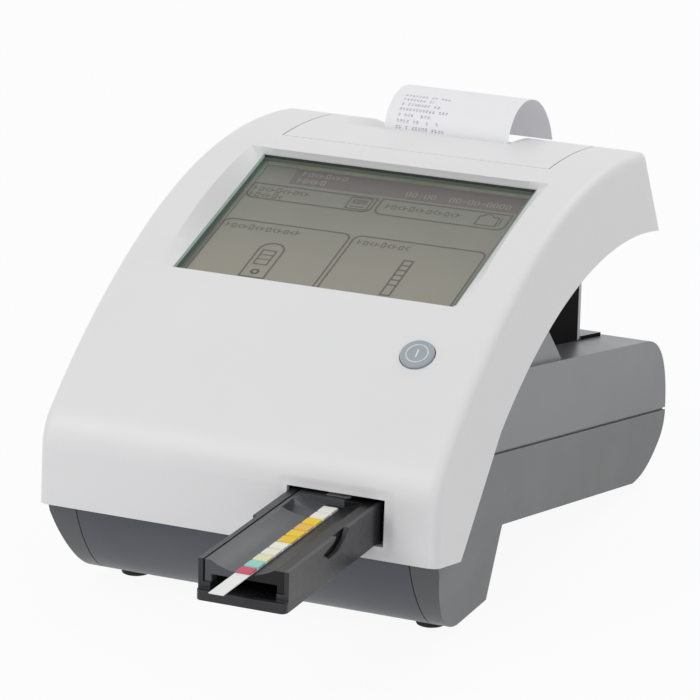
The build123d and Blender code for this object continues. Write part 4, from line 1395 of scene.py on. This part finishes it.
@dataclass
class Screws:
    """Pan-head screws with a cross recess, repeated at the CAD screws' places."""

    node: str
    outward: Vector
    head_radius: float
    head_height: float
    shank_radius: float
    recess_depth: float = 1.1 * MM
    arm: float = 0.45 * MM             # half the width of the cross's arms
    edge: float = 0.35 * MM            # rounding of the head
    face_reach: float = 0.62           # the cross over the head, at the face and at its floor
    floor_reach: float = 0.434

    def build(self) -> None:
        """Repeats one screw at the middle of each CAD screw."""
        groups = self._islands()
        low, high = self._reach(groups[0])
        pattern = linked(f"{self.node}_pattern", self._screw(high - low))
        spots = bpy.data.meshes.new(f"{self.node}_spots")
        spots.from_pydata([self._head_spot(group) for group in groups], [], [])
        places = linked(f"{self.node}_places", spots)
        objects = {"Places": places, "Screw": pattern}
        sizes = {label: ("NodeSocketObject", known) for label, known in objects.items()}
        repeat = Repeater(f"{self.node}_repeat", sizes)
        where, what = (
            repeat.node("GeometryNodeObjectInfo", inputs={"Object": repeat.value(label)})
            for label in objects
        )
        many = repeat.node(
            "GeometryNodeInstanceOnPoints",
            inputs={"Points": where.outputs["Geometry"], "Instance": what.outputs["Geometry"]},
        )
        mesh = repeat.make(many.outputs[0], Finish.STEEL.material())
        for spare in (pattern, places):
            bpy.data.objects.remove(spare)
        add_piece(f"{self.node}_heads", mesh, "housing", Finish.STEEL, [self.node])

    def _islands(self) -> list[list[Vector]]:
        """Separates the screws of the CAD node.

        Returns:
            The points of each, always in the same order.
        """
        form = bmesh.new()
        form.from_mesh(frame["nodes"][self.node].data)
        bmesh.ops.remove_doubles(form, verts=form.verts, dist=0.002 * MM)
        left = set(form.verts)
        groups = []
        while left:
            group = []
            queue = [left.pop()]
            while queue:
                vertex = queue.pop()
                group.append(vertex.co.copy())
                for edge in vertex.link_edges:
                    other = edge.other_vert(vertex)
                    if other in left:
                        left.remove(other)
                        queue.append(other)
            groups.append(group)
        form.free()
        return sorted(groups, key=lambda points: tuple(points[0]))

    def _reach(self, group: Sequence[Vector]) -> tuple[float, float]:
        """Ends of a screw along its axis."""
        along = [point.dot(self.outward) for point in group]
        return min(along), max(along)

    def _head_spot(self, group: Sequence[Vector]) -> Vector:
        """Middle of a screw's outer face.

        Args:
            group: the screw's points.

        Returns:
            The spot.
        """
        low, high = self._reach(group)
        middle = sum(group, Vector()) / len(group)
        return middle + self.outward * (high - middle.dot(self.outward))

    def _screw(self, length: float) -> bpy.types.Mesh:
        """One screw whose outer face is at the origin.

        Args:
            length: from the face to the tip.

        Returns:
            Its mesh.
        """
        across = self.outward.orthogonal().normalized()
        up = self.outward.cross(across)
        form = bmesh.new()

        def ring(radius: float, depth: float, steps: int = 28) -> list[bmesh.types.BMVert]:
            """Ring of points at a depth below the face.

            Args:
                radius: the ring's radius.
                depth: its depth.
                steps: how many points.

            Returns:
                The points.
            """
            return [
                form.verts.new(across * x + up * v - self.outward * depth)
                for x, v in circle(0.0, 0.0, radius, steps)
            ]

        profile = (
            (self.head_radius - self.edge, 0.0), (self.head_radius, self.edge),
            (self.head_radius, self.head_height), (self.shank_radius, self.head_height),
            (self.shank_radius, length - self.shank_radius), (0.3 * MM, length),
        )
        rings = [ring(radius, depth) for radius, depth in profile]
        for first, second in zip(rings, rings[1:]):
            for index in range(len(first)):
                after = (index + 1) % len(first)
                form.faces.new((first[index], second[index], second[after], first[after]))
        form.faces.new(rings[-1][::-1])
        cross = self._cross(form, across, up, 0.0)
        floor = self._cross(form, across, up, self.recess_depth)
        count = len(cross)
        for index in range(count):
            after = (index + 1) % count
            form.faces.new((cross[index], cross[after], floor[after], floor[index]))
        form.faces.new(floor)
        loops = [
            form.edges.get((loop[index], loop[(index + 1) % len(loop)]))
            for loop in (rings[0], cross) for index in range(len(loop))
        ]
        bmesh.ops.triangle_fill(form, use_beauty=True, edges=loops)
        bmesh.ops.recalc_face_normals(form, faces=form.faces)
        smooth_shaded(form)
        return settled(form, f"{self.node}_screw")

    def _cross(
        self, form: bmesh.types.BMesh, across: Vector, up: Vector, depth: float
    ) -> list[bmesh.types.BMVert]:
        """Outline of the cross recess at a depth.

        Args:
            form: the screw's form.
            across: first direction in the face.
            up: second direction in the face.
            depth: how far below the face.

        Returns:
            The points round the cross.
        """
        reach = self.head_radius * (self.floor_reach if depth > 0 else self.face_reach)
        points = []
        for turn in range(4):
            angle = math.pi / 2 * turn
            along = Vector((math.cos(angle), math.sin(angle)))
            side = Vector((-along.y, along.x))
            points += [along * reach - side * self.arm, along * reach + side * self.arm,
                       (along + side) * self.arm]
        return [form.verts.new(across * p.x + up * p.y - self.outward * depth) for p in points]


@dataclass
class Base:
    """Sloping base, its pedestal, feet, back panel and what shows in the bay under the cover."""

    rounding: float = 0.5 * MM
    core_half: float = 64.6 * MM
    deck_height: float = 87.3 * MM     # at the middle of the case
    deck_fall: float = math.tan(math.radians(11.3))
    pin_pitch: float = 2.77 * MM
    pin_rise: float = 1.42 * MM
    pin_radius: float = 0.5 * MM
    pin_length: float = 0.9 * MM

    def build(self) -> None:
        """Adds the mouldings, the screws and the connectors."""
        self._upper_half()
        for part in (
            Refined("base_lower", "housing", Finish.BASE, self.rounding),
            Refined("pedestal_panel", "housing", Finish.PEDESTAL, 0.35 * MM),
            Refined("back_panel", "housing", Finish.PANEL, 0.3 * MM),
            Refined("cover_shroud", "housing", Finish.SHROUD, 0.3 * MM),
            Refined("sole_plate", "housing", Finish.RUBBER, 0.4 * MM),
            Refined("feet", "housing", Finish.RUBBER, 0.5 * MM),
            Refined("battery_door", "door", Finish.BASE, 0.3 * MM),
            Refined("power_inlet", "housing", Finish.CHIP, 0.2 * MM),
            Refined("serial_port", "housing", Finish.STEEL, 0.2 * MM),
        ):
            part.build()
        self._port_face()
        self._port_pins()
        down = Vector((0, 0, -1))
        Screws("base_screws", down, 2.8 * MM, 2.0 * MM, 1.45 * MM).build()
        Screws("shroud_screws", down, 2.6 * MM, 1.8 * MM, 1.25 * MM).build()
        Screws("panel_screws", Vector((0, 1, 0)), 2.6 * MM, 1.8 * MM, 1.45 * MM).build()

    def _upper_half(self) -> None:
        """Upper half, with the outside of its core painted black as shade under the cover's
        overhang.
        """
        # the upper half takes the lighter copy of the base plastic, which is painted light
        upper = Refined("base_upper", "housing", Finish.BASE_TOP, self.rounding).build()
        upper.data.materials.append(Finish.CORE.material())
        for face in upper.data.polygons:
            middle = face.center
            deck = self.deck_height - (middle.y - ROW_SHIFT) * self.deck_fall
            # painted shade: the core's side walls above the deck, under the cover's overhang
            if abs(face.normal.x) > 0.9 and abs(middle.x) < self.core_half and middle.z > deck:
                face.material_index = 1

    def _port_centre(self) -> Vector:
        """Middle of the data port's outer face."""
        low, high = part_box("serial_port")
        return Vector(((low.x + high.x) / 2, high.y, (low.z + high.z) / 2))

    def _port_face(self) -> None:
        """Black insulator in the port, wider above than below."""
        wide, narrow, tall = 7.3 * MM, 6.2 * MM, 3.2 * MM
        sheet = Sheet(
            self._port_centre() - Vector((0, 0.05 * MM, 0)), Vector((-1, 0, 0)), Vector((0, 0, 1)),
            Vector((0, 1, 0)), 0.2 * MM,
        )
        sheet.slab([(-narrow, -tall), (narrow, -tall), (wide, tall), (-wide, tall)])
        sheet.piece("port_insulator", "housing", Finish.CHIP)

    def _port_pins(self) -> None:
        """Two rows of contacts, five above and four below."""
        start = self._port_centre()
        sizes = {
            "Pitch": ("NodeSocketVector", (self.pin_pitch, 0.0, 0.0)),
            "Radius": ("NodeSocketFloat", self.pin_radius),
            "Length": ("NodeSocketFloat", self.pin_length),
        }
        repeat = Repeater("port_contacts", sizes)
        join = repeat.node("GeometryNodeJoinGeometry")
        for count, height in ((5, self.pin_rise), (4, -self.pin_rise)):
            first = start + Vector((-(count - 1) * self.pin_pitch / 2, 0.1 * MM, height))
            line = repeat.node("GeometryNodeMeshLine", inputs={
                "Count": count, "Start Location": first, "Offset": repeat.value("Pitch"),
            })
            repeat.tree.links.new(line.outputs[0], join.inputs[0])
        pin = repeat.node("GeometryNodeMeshCylinder", inputs={
            "Vertices": 16, "Radius": repeat.value("Radius"), "Depth": repeat.value("Length"),
        })
        many = repeat.node("GeometryNodeInstanceOnPoints", inputs={
            "Points": join.outputs[0], "Instance": pin.outputs[0],
            "Rotation": (math.pi / 2, 0.0, 0.0),
        })
        mesh = repeat.make(many.outputs[0], Finish.BRIGHT.material())
        add_piece("port_contact_pins", mesh, "housing", Finish.BRIGHT)


@dataclass
class TestTable:
    """Sliding table with its insert, the test strip and the reagent pads."""

    pad_count: int = 11
    pad_pitch: float = 7.45 * MM
    pad_gap: float = 1.2 * MM

    def build(self) -> None:
        """Adds the mouldings, the strip and the pads."""
        Refined("test_table", "table", Finish.TABLE, 0.45 * MM).build()
        Refined("table_insert", "insert", Finish.INSERT, 0.25 * MM).build()
        Refined("test_strip", "insert", Finish.STRIP, 0.08 * MM).build()
        for node, finish in (("calibration_bar", Finish.STRIP), ("table_rack", Finish.ACETAL),
                             ("table_guide", Finish.FRAME)):
            dress_node(node, finish)
        self._pads()

    def _pads(self) -> None:
        """Row of pads, numbered from the back, each a little softer than a block."""
        low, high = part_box("reagent_pads")
        size = Vector((high.x - low.x, self.pad_pitch - self.pad_gap, high.z - low.z))
        start = Vector(((low.x + high.x) / 2, high.y - size.y / 2, (low.z + high.z) / 2))
        sizes = {
            "Count": ("NodeSocketInt", self.pad_count),
            "Start": ("NodeSocketVector", tuple(start)),
            "Step": ("NodeSocketVector", (0.0, -self.pad_pitch, 0.0)),
            "Size": ("NodeSocketVector", tuple(size)),
        }
        repeat = Repeater("pad_row", sizes)
        line = repeat.node("GeometryNodeMeshLine", inputs={
            "Count": repeat.value("Count"), "Start Location": repeat.value("Start"),
            "Offset": repeat.value("Step"),
        })
        block = repeat.node("GeometryNodeMeshCube", inputs={"Size": repeat.value("Size")})
        many = repeat.node("GeometryNodeInstanceOnPoints", inputs={
            "Points": line.outputs[0], "Instance": block.outputs[0],
        })
        number = repeat.node("GeometryNodeInputIndex")
        numbered = repeat.node(
            "GeometryNodeStoreNamedAttribute", {"data_type": "FLOAT", "domain": "INSTANCE"},
            {"Geometry": many.outputs[0], "Name": "pad_number", "Value": number.outputs[0]},
        )
        mesh = repeat.make(numbered.outputs[0], Finish.PADS.material())
        pads = add_piece("reagent_pad_row", mesh, "insert", Finish.PADS, ["reagent_pads"])
        rounded(pads, 0.18 * MM)


@dataclass
class PaperCurl:
    """Printed strip that rises from the slot and rolls over to the back."""

    path: tuple[tuple[float, float], ...] = (
        (75.1, 147.9), (76.2, 155.6), (80.2, 162.2), (87.8, 166.9), (98.0, 168.2),
        (109.0, 165.8), (118.6, 160.0), (126.0, 151.8), (130.3, 143.7),
    )                                  # in side view, millimetres from the middle of the case
    half_width: float = 28.5 * MM
    thickness: float = 0.12 * MM
    steps: int = 9
    columns: int = 6

    def build(self) -> None:
        """Adds the strip in place of the CAD curl."""
        line = self._line()
        sides = [
            self.half_width * (2 * index / self.columns - 1) for index in range(self.columns + 1)
        ]
        form = bmesh.new()
        along = form.verts.layers.float.new("along")
        across = form.verts.layers.float.new("across")
        sheets = []
        for lift in (0.0, self.thickness):
            rows = []
            for place, outward, distance in line:
                row = []
                for x in sides:
                    point = place + outward * lift
                    vertex = form.verts.new((x, point.x, point.y))
                    vertex[along] = distance
                    vertex[across] = x
                    row.append(vertex)
                rows.append(row)
            sheets.append(rows)
        self._faces(form, *sheets)
        bmesh.ops.recalc_face_normals(form, faces=form.faces)
        smooth_shaded(form, 40.0)
        name = "paper_curl_strip"
        add_piece(name, settled(form, name), "lid", Finish.PRINTED, ["paper_curl"])

    def _line(self) -> list[tuple[Vector, Vector, float]]:
        """Smooth run through the path.

        Returns:
            Place, outward direction and distance of each point.
        """
        points = [Vector((y * MM + ROW_SHIFT, z * MM)) for y, z in self.path]
        ends = [2 * points[0] - points[1], *points, 2 * points[-1] - points[-2]]
        places = []
        for before, first, second, after in zip(ends, ends[1:], ends[2:], ends[3:]):
            for step in range(self.steps):
                t = step / self.steps
                places.append(0.5 * (
                    2 * first + (second - before) * t
                    + (2 * before - 5 * first + 4 * second - after) * t ** 2
                    + (3 * first - before - 3 * second + after) * t ** 3
                ))
        places.append(points[-1])
        run = []
        distance = 0.0
        last = len(places) - 1
        for index, place in enumerate(places):
            heading = (places[min(index + 1, last)] - places[max(index - 1, 0)]).normalized()
            if index:
                distance += (place - places[index - 1]).length
            run.append((place, Vector((-heading.y, heading.x)), distance))
        return run

    @staticmethod
    def _faces(
        form: bmesh.types.BMesh, inner: list[list[bmesh.types.BMVert]],
        outer: list[list[bmesh.types.BMVert]],
    ) -> None:
        """Closes two sheets of points into a thin solid.

        Args:
            form: the strip's form.
            inner: rows of points of the inner sheet.
            outer: rows of points of the outer sheet.
        """
        rows, columns = len(inner), len(inner[0])
        for sheet in (inner, outer):
            for near, far in zip(sheet, sheet[1:]):
                for c in range(columns - 1):
                    form.faces.new((near[c], near[c + 1], far[c + 1], far[c]))
        for r in range(rows - 1):
            for c in (0, columns - 1):
                form.faces.new((inner[r][c], inner[r + 1][c], outer[r + 1][c], outer[r][c]))
        for c in range(columns - 1):
            for r in (0, rows - 1):
                form.faces.new((inner[r][c], inner[r][c + 1], outer[r][c + 1], outer[r][c]))


@dataclass
class Printer:
    """Paper roll, its curl and the printing gear under the lid."""

    finishes: tuple[tuple[str, Finish], ...] = (
        ("roll_core", Finish.CARD), ("paper_web", Finish.PAPER), ("printer_frame", Finish.STEEL),
        ("platen_axle", Finish.BRIGHT), ("platen_gear", Finish.ACETAL),
        ("printer_motor", Finish.STEEL), ("printer_motor_gear", Finish.ACETAL),
        ("print_head", Finish.BOARD), ("head_carrier", Finish.FRAME),
        ("head_pin", Finish.BRIGHT), ("head_spring", Finish.BRIGHT),
    )

    def build(self) -> None:
        """Adds the paper and dresses the mechanism."""
        PaperCurl().build()
        Refined("paper_roll", "roll", Finish.PAPER, 0.2 * MM).build()
        Refined("paper_tub", "housing", Finish.SHROUD, 0.2 * MM).build()
        Refined("platen_roller", "platen", Finish.RUBBER, 0.2 * MM).build()
        for node, finish in self.finishes:
            dress_node(node, finish)


@dataclass
class Inside:
    """Boards, battery bay, drive and reading head inside the case."""

    finishes: tuple[tuple[str, Finish], ...] = (
        ("connector_board", Finish.BOARD), ("main_board", Finish.BOARD),
        ("board_parts", Finish.CHIP), ("battery_holder", Finish.FRAME),
        ("battery_cells", Finish.CELL), ("battery_contacts", Finish.BRIGHT),
        ("drive_shaft", Finish.BRIGHT), ("reduction_gear", Finish.ACETAL),
        ("motor_gear", Finish.STEEL), ("drive_motor", Finish.STEEL),
        ("motor_bracket", Finish.STEEL), ("optics_housing", Finish.FRAME),
        ("optics_lens", Finish.LENS), ("led_board", Finish.BOARD), ("led_lamps", Finish.LENS),
    )

    def build(self) -> None:
        """Dresses each inner piece."""
        for node, finish in self.finishes:
            dress_node(node, finish)


# ---------------------------------------------------------------- studio
@dataclass
class Studio:
    """Camera at the photograph's angle, soft lights, pale floor and white surround."""

    camera_place: Vector = field(default_factory=lambda: Vector((0.629868, -1.455343, 0.587011)))
    yaw: float = 0.401
    pitch: float = 0.301
    roll: float = 0.023
    focal_share: float = 4121.764 / 700     # focal length over the picture's width
    sensor: float = 36.0
    aim: Vector = field(default_factory=lambda: Vector((0.0, 0.0, 0.07)))
    floor_half: float = 6.0
    floor_tone: Colour = (0.82, 0.82, 0.83)
    floor_glow: float = 0.93           # the rest of the floor's look is its shadow
    surround: float = 0.55
    lights: tuple[tuple[str, tuple[float, float, float], float, float], ...] = (
        ("key_light", (-1.1, -1.9, 1.9), 1.5, 24.0),
        ("fill_light", (1.9, -0.9, 1.0), 1.4, 4.5),
        ("rim_light", (0.3, 1.7, 1.7), 1.4, 8.0),
    )

    def build(self) -> None:
        """Sets up everything that isn't the object."""
        self._camera()
        for light in self.lights:
            self._light(*light)
        self._world()
        self._floor()
        bpy.context.scene.view_settings.view_transform = "Standard"

    def _camera(self) -> None:
        """Places the camera from its yaw, pitch and roll."""
        forward = Vector((
            -math.sin(self.yaw) * math.cos(self.pitch),
            math.cos(self.yaw) * math.cos(self.pitch),
            -math.sin(self.pitch),
        ))
        right = forward.cross(Vector((0, 0, 1))).normalized()
        up = right.cross(forward)
        turned_right = right * math.cos(self.roll) + up * math.sin(self.roll)
        turned_up = up * math.cos(self.roll) - right * math.sin(self.roll)
        turn = Matrix((turned_right, turned_up, -forward)).transposed().to_4x4()
        data = bpy.data.cameras.new("camera")
        data.sensor_width = self.sensor
        data.sensor_fit = "HORIZONTAL"
        data.lens = self.focal_share * self.sensor
        data.clip_end = 30.0
        camera = linked("camera", data)
        camera.matrix_world = Matrix.Translation(self.camera_place) @ turn
        bpy.context.scene.camera = camera

    def _light(
        self, name: str, place: tuple[float, float, float], size: float, power: float
    ) -> None:
        """Adds one soft square light that faces the object.

        Args:
            name: the light's name.
            place: where it stands.
            size: its side.
            power: its power in watts.
        """
        data = bpy.data.lights.new(name, "AREA")
        data.size = size
        data.energy = power
        light = linked(name, data)
        light.location = place
        light.rotation_euler = (self.aim - light.location).to_track_quat("-Z", "Y").to_euler()

    @staticmethod
    def _sees_background(shader: Shader) -> Wire:
        """Picks the rays that show the background.

        Args:
            shader: the tree being built.

        Returns:
            1 for camera, glossy and transmitted rays.
        """
        camera = shader.node("ShaderNodeLightPath", output="Is Camera Ray")
        outputs = camera.socket.node.outputs
        glossy = Wire(shader, outputs["Is Glossy Ray"])
        passing = Wire(shader, outputs["Is Transmission Ray"])
        return camera + glossy + passing > 0.5

    def _world(self) -> None:
        """Grey surround for light, white where it is seen."""
        world = bpy.data.worlds.new("surround")
        bpy.context.scene.world = world
        shader = Shader(world)
        grey, white = (
            shader.node("ShaderNodeBackground", inputs={"Color": WHITE, "Strength": strength})
            for strength in (self.surround, 1.0)
        )
        seen = self._sees_background(shader)
        shader.show(shader.node("ShaderNodeMixShader", inputs={0: seen, 1: grey, 2: white}))

    def _floor(self) -> None:
        """Pale floor that shows almost white and keeps a faint shadow."""
        half = self.floor_half
        mesh = bpy.data.meshes.new("floor")
        corners = [(x, y, 0.0) for x, y in rectangle(-half, half, -half, half)]
        mesh.from_pydata(corners, [], [(0, 1, 2, 3)])
        shader = Shader.named("floor_pale")
        matt = shader.node("ShaderNodeBsdfDiffuse", inputs={"Color": (*self.floor_tone, 1.0)})
        glow = shader.node("ShaderNodeEmission", inputs={"Color": WHITE, "Strength": 1.0})
        share = self._sees_background(shader) * self.floor_glow
        shader.show(shader.node("ShaderNodeMixShader", inputs={0: share, 1: matt, 2: glow}))
        mesh.materials.append(shader.owner)
        linked("floor", mesh)


def main() -> None:
    """Builds the studio and each sub-assembly in order."""
    logging.basicConfig(level=logging.INFO, format="%(name)s: %(message)s")
    for assembly in (
        Studio(), Cover(), Display(), PowerButton(), Base(), TestTable(), Printer(), Inside()
    ):
        LOG.info("building %s", type(assembly).__name__)
        assembly.build()


if __name__ == "__main__":
    main()
